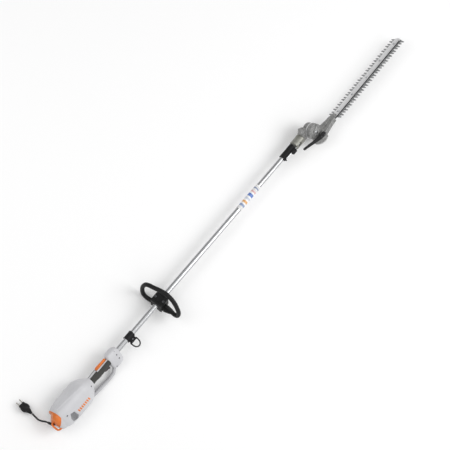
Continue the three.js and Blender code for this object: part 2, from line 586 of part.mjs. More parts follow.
// ---------- carrying ring ----------
const RING_MID = RING_CLAMP_X + RING_CLAMP_LENGTH / 2;
function makeCarryRing() {
  const end = RING_CLAMP_X + RING_CLAMP_LENGTH;
  const pinY = -RING_PIN_OUT;
  const wrap = barX(RING_CLAMP_R, RING_CLAMP_X, end);
  const ear = box(RING_MID - RING_HALF_X + RING_WIRE_R + 1, RING_MID + RING_HALF_X - RING_WIRE_R - 1,
    pinY - 5, 4 - TUBE_R, -8, 8);
  const clamp = cut(join(wrap, ear), barX(TUBE_R + GAP, RING_CLAMP_X - 1, end + 1),
    barX(RING_WIRE_R + TURN_GAP, RING_CLAMP_X - 1, end + 1, pinY, 0, 16),
    box(RING_CLAMP_X - 1, end + 1, pinY - 6, -RING_CLAMP_R - TUBE_WALL, -1, 1),
    barZ(2.1, -9, 9, RING_MID, -RING_CLAMP_R - 3.2, 12));
  add(machine, 'ring_clamp', clamp, finish(BLACK, 0.55));
  const bolt = join(barZ(2.1 - GAP, -8, 9, RING_MID, -RING_CLAMP_R - 3.2, 12),
    barZ(3.3, 8 + GAP, 11, RING_MID, -RING_CLAMP_R - 3.2, 12));
  add(machine, 'ring_clamp_bolt', bolt, finish(0x6b6c70, 0.35, 0.9));
  const far = pinY - RING_REACH;
  const path = new THREE.CurvePath();
  const corners = [
    [RING_MID - RING_HALF_X, pinY], [RING_MID - RING_HALF_X, far + RING_HALF_X],
  ];
  path.add(new THREE.LineCurve3(...corners.map(([x, y]) => new THREE.Vector3(x, y, 0))));
  const bend = new THREE.CatmullRomCurve3(Array.from({ length: 13 }, (_, i) => {
    const angle = (i / 12) * Math.PI;
    return new THREE.Vector3(RING_MID - RING_HALF_X * Math.cos(angle),
      far + RING_HALF_X - RING_HALF_X * Math.sin(angle), 0);
  }));
  path.add(bend);
  path.add(new THREE.LineCurve3(new THREE.Vector3(RING_MID + RING_HALF_X, far + RING_HALF_X, 0),
    new THREE.Vector3(RING_MID + RING_HALF_X, pinY, 0)));
  const wire = sweep(path, roundSection(RING_WIRE_R, 8), 28);
  const pin = barX(RING_WIRE_R, RING_MID - RING_HALF_X - RING_WIRE_R,
    RING_MID + RING_HALF_X + RING_WIRE_R, pinY, 0, 14);
  add(machine, 'carry_ring', join(wire, pin), finish(0x4a4a4c, 0.5));
}
makeCarryRing();

// ---------- front loop handle ----------
function makeLoop() {
  const path = new THREE.CatmullRomCurve3(LOOP_POINTS.map(([y, z]) => new THREE.Vector3(
    LOOP_X + z * Math.tan(LOOP_LEAN), y, z)), true);
  const loop = sweep(path, roundSection(LOOP_BAR_R, 10), 56);
  const roll = (geometry) => geometry.rotateX(CLAMP_ROLL);
  const block = (z0, z1) => roll(box(LOOP_X - CLAMP_HALF_X, LOOP_X + CLAMP_HALF_X,
    -CLAMP_HALF_Y, CLAMP_HALF_Y, z0, z1));
  const bore = barX(TUBE_R + GAP, LOOP_X - CLAMP_HALF_X * 2, LOOP_X + CLAMP_HALF_X * 2);
  const boltSpots = [-CLAMP_BOLT_OUT, CLAMP_BOLT_OUT];
  const boltBores = boltSpots.map((y) => roll(barZ(SCREW_R + GAP, -CLAMP_BOTTOM + 8,
    CLAMP_TOP + 1, LOOP_X, y, 14)));
  const above = roll(box(LOOP_X - 80, LOOP_X + 80, -CLAMP_HALF_Y - 1, CLAMP_HALF_Y + 1,
    GAP / 2, CLAMP_TOP + 6));
  const lower = cut(join(loop, block(-CLAMP_BOTTOM, CLAMP_TOP)), bore, above, ...boltBores);
  add(machine, 'loop_handle', lower, finish(BLACK, 0.6));
  const cap = cut(block(GAP, CLAMP_TOP), bore, ...boltBores);
  add(machine, 'loop_clamp_cap', cap, finish(BLACK, 0.6));
  boltSpots.forEach((y, i) => {
    const bolt = join(barZ(SCREW_R, -CLAMP_BOTTOM + 9, CLAMP_TOP + 2, LOOP_X, y, 14),
      barZ(SCREW_R + 3, CLAMP_TOP + GAP, CLAMP_TOP + 4, LOOP_X, y, 6));
    add(machine, `loop_bolt_${i + 1}`, roll(bolt), finish(0x6b6c70, 0.35, 0.9));
  });
}
makeLoop();

// ---------- sliding lock sleeve ----------
const LOCK_ROD_Z = -3;
const LOCK_ROD_FRONT = NECK_REAR + 24;
function makeLockSleeve() {
  const front = SLEEVE_X + SLEEVE_LENGTH;
  const body = barX(SLEEVE_R, SLEEVE_X, front);
  const rearLip = box(SLEEVE_X, SLEEVE_X + 6, LOCK_ROD_Y - 5, -SLEEVE_R + 5, -10, 4);
  const lobe = box(front - 34, front - 14, LOCK_ROD_Y - 11, -SLEEVE_R + 5, -13, 5);
  const sleeve = cut(join(body, rearLip, lobe),
    barX(TUBE_R + TURN_GAP, SLEEVE_X - 1, front + 1),
    barX(LOCK_ROD_R + GAP, SLEEVE_X + 3, front + 1, LOCK_ROD_Y, LOCK_ROD_Z, 14));
  add(headGroup, 'lock_sleeve', sleeve, finish(BLACK, 0.6));
  const rod = barX(LOCK_ROD_R, SLEEVE_X + 3 + GAP, LOCK_ROD_FRONT, LOCK_ROD_Y, LOCK_ROD_Z, 14);
  add(headGroup, 'lock_rod', clean(rod), finish(BRIGHT, 0.3, 1));
}
makeLockSleeve();

// ---------- neck tube, gear cases and hinge ----------
const NECK_Y = -5;
const NECK_Z = -1;
function makeGearCases() {
  const neckEnd = PIVOT_X - CASE_R + 14;
  const lobe = (grow) => common(
    barY(LOBE_R + grow, CASE_SPLIT_Y + TURN_GAP / 2 - grow * 20, CASE_INNER_Y + grow * 150, LOBE_X),
    box(LOBE_X - LOBE_R * 2, PIVOT_X, -90, 90, LOBE_FLOOR - grow, LOBE_R * 2));
  const neck = cut(
    barX(NECK_R, NECK_REAR, neckEnd, NECK_Y, NECK_Z),
    lobe(GAP),
    barX(TUBE_R + GAP, NECK_REAR - 1, TUBE_END + GAP),
    barX(DRIVE_R + 2, NECK_REAR, neckEnd + 1, 0, 0, 16),
    barX(LOCK_ROD_R + TURN_GAP, NECK_REAR - 1, LOCK_ROD_FRONT + 3, LOCK_ROD_Y, LOCK_ROD_Z, 14),
    barY(CASE_R + GAP, CASE_SPLIT_Y - 5, NECK_R * 2, PIVOT_X));
  add(headGroup, 'neck_tube', neck, finish(0x96968e, 0.45, 0.6));
  const boltBore = barY(PIVOT_BOLT_R + GAP, CASE_OUTER_Y - 20, CASE_INNER_Y - 6, PIVOT_X, 0, 20);
  const runBore = barY(PIVOT_BOLT_R + TURN_GAP, CASE_OUTER_Y - 20, 0, PIVOT_X, 0, 20);
  const shaftCase = cut(
    join(barY(HINGE_R, CASE_SPLIT_Y + TURN_GAP / 2, CASE_INNER_Y, PIVOT_X), lobe(0)), boltBore);
  add(headGroup, 'shaft_gear_case', shaftCase, finish(CAST, 0.5, 0.6));
  const bladeCase = cut(
    barY(CASE_R, CASE_OUTER_Y, CASE_SPLIT_Y - TURN_GAP / 2, PIVOT_X), runBore);
  add(bladeGroup, 'blade_gear_case', bladeCase, finish(CAST, 0.5, 0.6));
  const sector = new THREE.Shape();
  sector.moveTo(-QUADRANT_R * 0.55, 0);
  sector.absarc(0, 0, QUADRANT_R * 0.62, Math.PI, Math.PI * 1.5, false);
  sector.lineTo(QUADRANT_R * 0.75, -QUADRANT_R);
  sector.absarc(0, 0, QUADRANT_R * 1.25, -0.9, 0.75, false);
  sector.lineTo(0, QUADRANT_R * 0.62);
  sector.absarc(0, 0, QUADRANT_R * 0.62, Math.PI / 2, Math.PI, false);
  const quadrantFace = CASE_OUTER_Y - GAP;
  const notches = [];
  for (let i = 0; i < 5; i += 1) {
    const angle = -0.7 + i * 0.33;
    notches.push(barY(2.2, quadrantFace - QUADRANT_THICK - 1, quadrantFace + 1,
      PIVOT_X + Math.cos(angle) * QUADRANT_R * 1.0,
      Math.sin(angle) * QUADRANT_R * 1.0, 10));
  }
  const quadrant = cut(
    plateY(sector, quadrantFace - QUADRANT_THICK, quadrantFace, 10).translate(PIVOT_X, 0, 0),
    runBore, ...notches);
  add(bladeGroup, 'quadrant', quadrant, finish(0xd8d8d8, 0.3, 0.9));
  const head = quadrantFace - QUADRANT_THICK - TURN_GAP;
  const bolt = join(barY(PIVOT_BOLT_R, head - 2, CASE_INNER_Y - 6 - GAP, PIVOT_X, 0, 20),
    barY(PIVOT_BOLT_R + 2.5, head - 3.5, head, PIVOT_X, 0, 6));
  add(headGroup, 'hinge_bolt', bolt, finish(0x6d6e70, 0.35, 0.9));
}
makeGearCases();

// ---------- crank case ----------
const STACK_TOP = BLADE_TOP + GAP + BAR_THICK;
const LOWER_TOP = BLADE_TOP - BLADE_THICK - GAP;
const STACK_BOTTOM = LOWER_TOP - BLADE_THICK;
const MOUTH_HALF = BAR_HALF + 1;
const NECK_HALF_END = MOUTH_HALF + 2.5;
function makeCrankCase() {
  const neckShape = new THREE.Shape([
    [CRANK_X, CRANK_R - 1], [CRANK_X + 40, CRANK_R * 0.84], [MOUTH_X - 30, NECK_HALF_END + 2],
    [MOUTH_X, NECK_HALF_END], [MOUTH_X, -NECK_HALF_END], [MOUTH_X - 30, -NECK_HALF_END - 2],
    [CRANK_X + 40, -CRANK_R * 0.84], [CRANK_X, -CRANK_R + 1],
  ].map(([x, y]) => new THREE.Vector2(x, y + BLADE_Y)));
  const barrel = barZ(CRANK_R, CRANK_FLOOR, CRANK_TOP, CRANK_X, BLADE_Y, 32);
  const cavity = barZ(CRANK_R - CRANK_WALL, CRANK_FLOOR - 1, STACK_BOTTOM, CRANK_X, BLADE_Y, 32);
  const channel = box(CRANK_X - CRANK_R + CRANK_WALL + 2, MOUTH_X + 1,
    BLADE_Y - MOUTH_HALF, BLADE_Y + MOUTH_HALF, STACK_BOTTOM - GAP * 2, STACK_TOP + GAP);
  const crankCase = cut(
    join(barrel, plateZ(neckShape, STACK_BOTTOM - 6, STACK_TOP + 8)), cavity, channel,
    barY(CASE_R + GAP, CASE_OUTER_Y - GAP, CASE_SPLIT_Y, PIVOT_X),
    barY(CASE_R + TURN_GAP, CASE_SPLIT_Y - TURN_GAP / 2, BLADE_Y + CRANK_R * 2, PIVOT_X),
    barY(QUADRANT_R * 1.25 + 2, CASE_OUTER_Y - 20, CASE_OUTER_Y, PIVOT_X));
  add(bladeGroup, 'crank_case', crankCase, finish(0x9d9d9b, 0.5, 0.6));
  const cover = barZ(CRANK_R + 1, CRANK_FLOOR - CRANK_COVER, CRANK_FLOOR - GAP, CRANK_X, BLADE_Y, 36);
  add(bladeGroup, 'crank_cover', clean(cover), finish(0xb4b4b3, 0.45, 0.6));
  const wheel = join(
    barZ(CRANK_R - CRANK_WALL - 3, CRANK_FLOOR + 2, CRANK_FLOOR + 9, CRANK_X, BLADE_Y, 32),
    barZ(13, CRANK_FLOOR + 9, STACK_BOTTOM - 2, CRANK_X, BLADE_Y, 20));
  add(bladeGroup, 'crank_wheel', wheel, finish(STEEL, 0.35, 0.9));
}
makeCrankCase();

// ---------- cutter bar ----------
const FIRST_TOOTH = MOUTH_X + 20;
const BOLT_SPAN = BAR_END - 40 - (MOUTH_X + 45);
const boltAt = (i) => MOUTH_X + 45 + (BOLT_SPAN * i) / (BAR_BOLTS - 1);
function bladeShape(shift) {
  const rear = CRANK_X - 8;
  const front = FIRST_TOOTH + shift + TOOTH_PITCH * (TEETH - 1) + TOOTH_ROOT / 2 + 2;
  const rim = [[rear, 12], [MOUTH_X - 30, 14], [MOUTH_X + BLADE_STROKE + 2, 14]];
  for (let i = 0; i < TEETH; i += 1) {
    const x = FIRST_TOOTH + shift + TOOTH_PITCH * i;
    rim.push([x - TOOTH_ROOT / 2, i ? BLADE_HALF : 14 + BLADE_HALF * 0.2]);
    rim.push([x - TOOTH_NOSE / 2, TOOTH_TIP], [x + TOOTH_NOSE / 2, TOOTH_TIP]);
    rim.push([x + TOOTH_ROOT / 2, BLADE_HALF]);
  }
  rim.push([front, BLADE_HALF - 4]);
  const other = rim.map(([x, y]) => [x, -y]).reverse();
  const shape = new THREE.Shape([...rim, ...other].map(
    ([x, y]) => new THREE.Vector2(x, y + BLADE_Y)));
  return shape;
}
function makeCutterBar() {
  const slotHalf = BLADE_STROKE + BAR_BOLT_R + TURN_GAP;
  const slots = [];
  for (let i = 0; i < BAR_BOLTS; i += 1) {
    const half = BAR_BOLT_R + TURN_GAP;
    slots.push(box(boltAt(i) - slotHalf, boltAt(i) + slotHalf, BLADE_Y - half, BLADE_Y + half,
      STACK_BOTTOM - 5, STACK_TOP + 5));
  }
  for (const [name, shift, top] of [
    ['upper_blade', 0, BLADE_TOP], ['lower_blade', TOOTH_PITCH / 2, LOWER_TOP]]) {
    const blade = plateZ(bladeShape(shift), top - BLADE_THICK, top, 4);
    add(bladeGroup, name, cut(blade, ...slots), finish(STEEL, 0.35, 0.9));
  }
  const nose = 12;
  const guide = new THREE.Shape();
  guide.moveTo(MOUTH_X - 40, BLADE_Y - BAR_HALF);
  guide.lineTo(BAR_END - nose, BLADE_Y - BAR_HALF);
  guide.quadraticCurveTo(BAR_END, BLADE_Y - BAR_HALF, BAR_END, BLADE_Y);
  guide.quadraticCurveTo(BAR_END, BLADE_Y + BAR_HALF, BAR_END - nose, BLADE_Y + BAR_HALF);
  guide.lineTo(MOUTH_X - 40, BLADE_Y + BAR_HALF);
  const holes = [];
  for (let i = 0; i < BAR_BOLTS; i += 1) {
    holes.push(barZ(BAR_BOLT_R + GAP, STACK_BOTTOM - 5, STACK_TOP + 5, boltAt(i), BLADE_Y, 14));
    const bolt = join(
      barZ(BAR_BOLT_R, STACK_BOTTOM - 2, STACK_TOP + 2, boltAt(i), BLADE_Y, 14),
      barZ(BAR_BOLT_R + 3, STACK_TOP + GAP, STACK_TOP + 4, boltAt(i), BLADE_Y, 14),
      barZ(BAR_BOLT_R + 4, STACK_BOTTOM - 3, STACK_BOTTOM - GAP, boltAt(i), BLADE_Y, 14));
    add(bladeGroup, `bar_bolt_${i + 1}`, bolt, finish(0x707174, 0.35, 0.9));
  }
  const bar = cut(plateZ(guide, BLADE_TOP + GAP, STACK_TOP, 6), ...holes);
  add(bladeGroup, 'guide_bar', bar, finish(BRIGHT, 0.3, 1));
}
makeCutterBar();

// ---------- swing lever of the blade head ----------
function makeLever() {
  const outer = BLADE_Y - CRANK_R - TURN_GAP;
  const rootX = CRANK_X + 6;
  const rootZ = -28;
  const rise = 0.23;
  const [tipX, tipZ] = [rootX - LEVER_LENGTH, rootZ + LEVER_LENGTH * rise];
  const side = new THREE.Shape();
  side.moveTo(rootX, rootZ - 12);
  side.lineTo(rootX - 36, rootZ - 5);
  side.lineTo(tipX + 4, tipZ - LEVER_WIDTH / 2);
  side.quadraticCurveTo(tipX - 5, tipZ, tipX + 4, tipZ + LEVER_WIDTH / 2);
  side.lineTo(rootX - 30, rootZ + 12);
  side.lineTo(rootX + 4, rootZ + 12);
  side.lineTo(rootX + 10, rootZ);
  const lever = plateY(side, outer - 9, outer, 6);
  add(bladeGroup, 'swing_lever', clean(lever), finish(0x333335, 0.5));
}
makeLever();

// ---------- origin: middle of the tool on the surface it lies on ----------
machine.updateMatrixWorld(true);
const CORD_NODES = ['mains_lead', 'plug', 'plug_pin_1', 'plug_pin_2', 'cord_gland'];
const bounds = new THREE.Box3();
machine.traverse((object) => {
  if (object.isMesh && !CORD_NODES.includes(object.name)) bounds.expandByObject(object, true);
});
machine.position.set(
  -(bounds.min.x + bounds.max.x) / 2, -(bounds.min.y + bounds.max.y) / 2, -bounds.min.z);
const hedgeTrimmer = new THREE.Group();
hedgeTrimmer.add(machine);

export default hedgeTrimmer;
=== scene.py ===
"""Long-reach electric hedge trimmer, lying on a flat pale floor."""

import json
import math

import bmesh
import bpy
import numpy as np
from bpy.props import FloatProperty, FloatVectorProperty, IntProperty, PointerProperty
from mathutils import Matrix, Vector


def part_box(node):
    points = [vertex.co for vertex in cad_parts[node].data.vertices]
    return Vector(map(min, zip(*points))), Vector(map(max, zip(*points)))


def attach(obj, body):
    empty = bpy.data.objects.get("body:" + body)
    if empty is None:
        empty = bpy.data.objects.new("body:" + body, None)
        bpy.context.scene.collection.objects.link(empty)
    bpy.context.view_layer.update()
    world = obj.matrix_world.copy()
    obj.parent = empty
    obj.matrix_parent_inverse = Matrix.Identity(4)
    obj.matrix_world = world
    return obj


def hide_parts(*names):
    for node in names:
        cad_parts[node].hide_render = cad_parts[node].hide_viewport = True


bl_info = {
    "name": "Hedge Trimmer Looks",
    "version": (1, 0, 0),
    "blender": (4, 5, 0),
    "location": "3D View > Sidebar > Trimmer",
    "description": "Builds the visible surfaces of a long-reach hedge trimmer around its packed model",
    "category": "Object",
}

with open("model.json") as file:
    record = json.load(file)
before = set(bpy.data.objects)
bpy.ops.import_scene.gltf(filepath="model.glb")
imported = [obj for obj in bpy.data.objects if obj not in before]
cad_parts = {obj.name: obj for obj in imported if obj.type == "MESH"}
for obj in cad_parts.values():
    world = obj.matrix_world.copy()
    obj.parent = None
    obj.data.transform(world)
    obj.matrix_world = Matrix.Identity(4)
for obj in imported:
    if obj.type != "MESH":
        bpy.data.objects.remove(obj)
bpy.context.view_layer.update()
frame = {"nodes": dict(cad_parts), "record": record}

# ---------- places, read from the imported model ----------
MM = 0.001
TUBE_LOW, TUBE_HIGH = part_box("drive_tube")
TUBE_IN_BLOCK = 0.044
# front face of the handle block, on the tube's axis
ORIGIN = Vector((
    TUBE_LOW[0] + TUBE_IN_BLOCK,
    (TUBE_LOW[1] + TUBE_HIGH[1]) / 2,
    (TUBE_LOW[2] + TUBE_HIGH[2]) / 2,
))
SIDE_ROLL = math.radians(-50)
LEVEL = Matrix.Translation(ORIGIN) @ Matrix.Scale(MM, 4)
ROLLED = LEVEL @ Matrix.Rotation(SIDE_ROLL, 4, "X")


# ---------- shapes in millimetres ----------
def circle(count, start=0.0):
    return [start + 2 * math.pi * i / count for i in range(count)]


def smooth_rows(rows, count):
    """Rows of numbers, the first one rising, drawn out to more rows on a smooth curve."""
    rows = np.array(rows, float)
    along = rows[:, 0]
    spans = np.diff(along)
    table = np.zeros((count, rows.shape[1]))
    table[:, 0] = np.linspace(along[0], along[-1], count)
    for k in range(1, rows.shape[1]):
        slopes = np.diff(rows[:, k]) / spans
        tangent = np.zeros(len(along))
        tangent[0], tangent[-1] = slopes[0], slopes[-1]
        for i in range(1, len(along) - 1):
            a, b = slopes[i - 1], slopes[i]
            if a * b > 0:
                tangent[i] = 2 * a * b / (a + b)
        place = np.clip(np.searchsorted(along, table[:, 0], side="right") - 1, 0, len(spans) - 1)
        u = (table[:, 0] - along[place]) / spans[place]
        low, high = rows[place, k], rows[place + 1, k]
        table[:, k] = (
            low * (2 * u**3 - 3 * u**2 + 1)
            + high * (3 * u**2 - 2 * u**3)
            + spans[place] * (tangent[place] * (u**3 - 2 * u**2 + u) + tangent[place + 1] * (u**3 - u**2))
        )
    return table


def loft(rings, closed=False):
    """Vertices and faces of a body through rings that have the same number of points."""
    verts = [tuple(p) for ring in rings for p in ring]
    n = len(rings[0])
    faces = []
    last = len(rings) if closed else len(rings) - 1
    for i in range(last):
        a, b = i * n, ((i + 1) % len(rings)) * n
        for j in range(n):
            k = (j + 1) % n
            faces.append((a + j, a + k, b + k, b + j))
    if not closed:
        faces.append(tuple(reversed(range(n))))
        faces.append(tuple(range(len(rings) * n - n, len(rings) * n)))
    return verts, faces


def squircle(angle, half_y, half_z, fullness=3.0):
    c, s = math.cos(angle), math.sin(angle)
    reach = (abs(c) ** fullness + abs(s) ** fullness) ** (-1 / fullness)
    return reach * c * half_y, reach * s * half_z


def turned(profile, axis="X", centre=(0, 0, 0), sides=64, start=0.0):
    """Body of revolution; profile rows are (place along the axis, radius)."""
    rings = []
    for along, radius in profile:
        ring = []
        for a in circle(sides, start):
            u, v = radius * math.cos(a), radius * math.sin(a)
            p = {"X": (along, u, v), "Y": (v, along, u), "Z": (u, v, along)}[axis]
            ring.append(tuple(p[i] + centre[i] for i in range(3)))
        rings.append(ring)
    return loft(rings)


def rounded_profile(low, high, radius, edge=1.0, steps=3):
    """Profile of a disc or bar whose two rims are rounded."""
    rows = []
    for i in range(steps + 1):
        t = math.pi / 2 * i / steps
        rows.append((low + edge * (1 - math.cos(t)), radius - edge * (1 - math.sin(t))))
    for i in range(steps + 1):
        t = math.pi / 2 * i / steps
        rows.append((high - edge * (1 - math.sin(t)), radius - edge * (1 - math.cos(t))))
    return rows


def bar(radius, low, high, axis="X", centre=(0, 0, 0), sides=64, edge=0.6, start=0.0):
    return turned(rounded_profile(low, high, radius, edge), axis, centre, sides, start)


def pipe(outer, inner, low, high, edge=0.5, sides=64):
    """Tube along X with rounded rims."""
    rows = rounded_profile(low, high, outer, edge)
    back = [(high - edge * 0.2, inner), (low + edge * 0.2, inner)]
    rings = []
    for along, radius in rows + back:
        rings.append([(along, radius * math.cos(a), radius * math.sin(a)) for a in circle(sides)])
    return loft(rings, closed=True)


def curve_points(points, count, closed=False):
    """Catmull-Rom curve through points, with even spacing."""
    pts = [Vector(p) for p in points]
    if closed:
        ctrl = [pts[-1]] + pts + pts[:2]
    else:
        ctrl = [pts[0] * 2 - pts[1]] + pts + [pts[-1] * 2 - pts[-2]]
    fine = []
    for i in range(len(ctrl) - 3):
        p0, p1, p2, p3 = ctrl[i:i + 4]
        for k in range(24):
            t = k / 24
            fine.append(0.5 * ((2 * p1) + (p2 - p0) * t + (2 * p0 - 5 * p1 + 4 * p2 - p3) * t * t
                               + (3 * p1 - p0 - 3 * p2 + p3) * t**3))
    fine.append(pts[0].copy() if closed else pts[-1].copy())
    lengths = [0.0]
    for a, b in zip(fine, fine[1:]):
        lengths.append(lengths[-1] + (b - a).length)
    total = lengths[-1]
    steps = count if closed else count - 1
    out, j = [], 0
    for i in range(count):
        want = total * i / steps
        while j < len(lengths) - 2 and lengths[j + 1] < want:
            j += 1
        span = lengths[j + 1] - lengths[j] or 1.0
        out.append(fine[j].lerp(fine[j + 1], min(1.0, (want - lengths[j]) / span)))
    return out


def swept(path, section, closed=False, up=(0, 0, 1)):
    """Body along a path; section(share, angle) gives its radius pair there."""
    rings = []
    n = len(path)
    normal = Vector(up)
    for i, p in enumerate(path):
        ahead = path[(i + 1) % n] if closed or i < n - 1 else path[i]
        behind = path[i - 1] if closed or i > 0 else path[i]
        tangent = (ahead - behind).normalized()
        normal = (normal - tangent * normal.dot(tangent)).normalized()
        side = tangent.cross(normal)
        ring = []
        for u, v in section(i / (n if closed else n - 1)):
            ring.append(tuple(p + side * u + normal * v))
        rings.append(ring)
    return loft(rings, closed)


def round_section(radius, sides=24):
    return lambda share: [(radius * math.cos(a), radius * math.sin(a)) for a in circle(sides)]


def oval_section(half_u, half_v, fullness=2.0, sides=28):
    def section(share):
        wide = half_u(share) if callable(half_u) else half_u
        high = half_v(share) if callable(half_v) else half_v
        return [squircle(a, wide, high, fullness) for a in circle(sides)]
    return section


def slab(outline, low, high, axis="Z"):
    """Flat plate: outline of (x, y) for axis Z, or of (x, z) for axis Y."""
    rings = []
    for level in (low, high):
        ring = [(u, v, level) if axis == "Z" else (u, level, v) for u, v in outline]
        rings.append(ring)
    return loft(rings)


def block(x0, x1, y0, y1, z0, z1):
    return slab([(x0, y0), (x1, y0), (x1, y1), (x0, y1)], z0, z1)


# ---------- solids ----------
class Solid:
    """A closed body in millimetres that can be cut, joined and rounded before it is placed."""

    def __init__(self, shape):
        verts, faces = shape
        mesh = bpy.data.meshes.new("work")
        mesh.from_pydata(verts, [], faces)
        work = bmesh.new()
        work.from_mesh(mesh)
        bmesh.ops.remove_doubles(work, verts=work.verts, dist=1e-4)
        bmesh.ops.recalc_face_normals(work, faces=work.faces)
        work.to_mesh(mesh)
        work.free()
        self.thing = bpy.data.objects.new("work", mesh)
        bpy.context.scene.collection.objects.link(self.thing)

    def _apply(self):
        shown = self.thing.evaluated_get(bpy.context.evaluated_depsgraph_get())
        mesh = bpy.data.meshes.new_from_object(shown)
        old = self.thing.data
        self.thing.modifiers.clear()
        self.thing.data = mesh
        bpy.data.meshes.remove(old)

    def _combine(self, shapes, operation):
        for shape in shapes:
            other = shape if isinstance(shape, Solid) else Solid(shape)
            step = self.thing.modifiers.new("combine", "BOOLEAN")
            step.operation = operation
            step.solver = "EXACT"
            step.object = other.thing
            self._apply()
            bpy.data.objects.remove(other.thing)
        return self

    def cut(self, *shapes):
        return self._combine(shapes, "DIFFERENCE")

    def join(self, *shapes):
        return self._combine(shapes, "UNION")

    def keep(self, *shapes):
        return self._combine(shapes, "INTERSECT")

    def bevel(self, width, segments=2, angle=35):
        step = self.thing.modifiers.new("edge", "BEVEL")
        step.width = width
        step.segments = segments
        step.limit_method = "ANGLE"
        step.angle_limit = math.radians(angle)
        step.use_clamp_overlap = True
        step.miter_outer = "MITER_ARC"
        self._apply()
        return self

    def copy(self):
        twin = Solid.__new__(Solid)
        twin.thing = self.thing.copy()
        twin.thing.data = self.thing.data.copy()
        bpy.context.scene.collection.objects.link(twin.thing)
        return twin

    def turn(self, matrix):
        self.thing.data.transform(matrix)
        return self


def place(solid, name, body, slot, finish, where=LEVEL, stands_for=(), sharp=38):
    """Puts a solid in the row frame as a named piece that rides on a body."""
    piece = solid.thing
    piece.name = name
    mesh = piece.data
    mesh.name = name
    mesh.transform(where)
    work = bmesh.new()
    work.from_mesh(mesh)
    bmesh.ops.remove_doubles(work, verts=work.verts, dist=1e-6)
    bmesh.ops.dissolve_degenerate(work, edges=work.edges, dist=1e-6)
    limit = math.radians(sharp)
    for face in work.faces:
        face.smooth = True
    for edge in work.edges:
        if len(edge.link_faces) == 2:
            edge.smooth = edge.calc_face_angle(0.0) < limit
    work.to_mesh(mesh)
    work.free()
    mesh.materials.clear()
    mesh.materials.append(finish)
    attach(piece, body)
    if stands_for:
        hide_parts(*stands_for)
    return piece


# ---------- shader maths ----------
class Flow:
    """A shader value that can be added, scaled and compared with plain operators."""

    def __init__(self, board, socket):
        self.board = board
        self.socket = socket

    def _with(self, operation, other):
        return self.board.node("ShaderNodeMath", {"operation": operation}, {0: self, 1: other})

    def __add__(self, other):
        return self._with("ADD", other)

    def __sub__(self, other):
        return self._with("SUBTRACT", other)

    def __mul__(self, other):
        return self._with("MULTIPLY", other)

    def __truediv__(self, other):
        return self._with("DIVIDE", other)

    def __gt__(self, other):
        return self._with("GREATER_THAN", other)

    def __lt__(self, other):
        return self._with("LESS_THAN", other)

    __radd__ = __add__
    __rmul__ = __mul__


class Board:
    """One material's node tree."""

    def __init__(self, name):
        self.material = bpy.data.materials.new(name)
        self.material.use_nodes = True
        self.tree = self.material.node_tree
        self.tree.nodes.clear()

    def node(self, kind, settings=None, values=None, output=0):
        step = self.tree.nodes.new(kind)
        for key, value in (settings or {}).items():
            if key == "stops":
                ramp = step.color_ramp
                while len(ramp.elements) < len(value):
                    ramp.elements.new(1.0)
                for element, (at, colour) in zip(ramp.elements, value):
                    element.position = at
                    element.color = (*colour, 1.0) if hasattr(colour, "__len__") else (colour,) * 3 + (1.0,)
            else:
                setattr(step, key, value)
        for key, value in (values or {}).items():
            socket = step.inputs[key]
            if isinstance(value, Flow):
                self.tree.links.new(value.socket, socket)
            elif hasattr(value, "__len__") and len(value) == 3 and len(socket.default_value) == 4:
                socket.default_value = (*value, 1.0)
            else:
                socket.default_value = value
        return Flow(self, step.outputs[output] if step.outputs else None)

    def place(self):
        return self.node("ShaderNodeTexCoord", output="Object")

    def stretched(self, scale):
        return self.node("ShaderNodeMapping", {"vector_type": "POINT"},
                         {"Vector": self.place(), "Scale": scale})

    def noise(self, scale, detail=3.0, roughness=0.55, vector=None):
        return self.node("ShaderNodeTexNoise", {"noise_dimensions": "3D"}, {
            "Vector": vector or self.place(), "Scale": scale, "Detail": detail,
            "Roughness": roughness})

    def grains(self, scale, vector=None, feature="F1"):
        return self.node("ShaderNodeTexVoronoi", {"feature": feature}, {
            "Vector": vector or self.place(), "Scale": scale}, output="Distance")

    def band(self, value, low, high):
        """0 below low, 1 above high, and smooth between them."""
        return self.node("ShaderNodeMapRange", {"interpolation_type": "SMOOTHSTEP"}, {
            "Value": value, "From Min": low, "From Max": high})

    def mix(self, share, first, second):
        return self.node("ShaderNodeMix", {"data_type": "RGBA"}, {
            "Factor": share, 6: first, 7: second}, output=2)

    def axis(self, which):
        return self.node("ShaderNodeSeparateXYZ", None, {"Vector": self.place()}, output=which)

    def worn_edge(self, low=0.52, high=0.62):
        """1 on convex edges, from the shape itself."""
        pointy = self.node("ShaderNodeNewGeometry", output="Pointiness")
        return self.band(pointy, low, high)

    def bump(self, height, distance, strength=1.0):
        return self.node("ShaderNodeBump", None, {
            "Height": height, "Distance": distance, "Strength": strength})

    def finish(self, colour, rough, normal=None, metal=0.0, coat=0.0, coat_rough=0.1, level=0.5,
               sheen=0.0):
        values = {"Base Color": colour, "Roughness": rough, "Metallic": metal,
                  "Specular IOR Level": level, "Coat Weight": coat, "Coat Roughness": coat_rough,
                  "Sheen Weight": sheen}
        if normal is not None:
            values["Normal"] = normal
        shader = self.node("ShaderNodeBsdfPrincipled", None, values)
        self.node("ShaderNodeOutputMaterial", None, {"Surface": shader})
        return self.material


# ---------- sizes and colours that a user may change ----------
def tint(red, green, blue):
    """Screen colour, 0 to 255, as the linear colour that shaders use."""
    def linear(value):
        share = value / 255
        return share / 12.92 if share <= 0.04045 else ((share + 0.055) / 1.055) ** 2.4
    return tuple(linear(value) for value in (red, green, blue))


def colour_setting(name, description, rgb):
    return FloatVectorProperty(name=name, description=description, size=3, subtype="COLOR",
                               min=0.0, max=1.0, default=tint(*rgb))


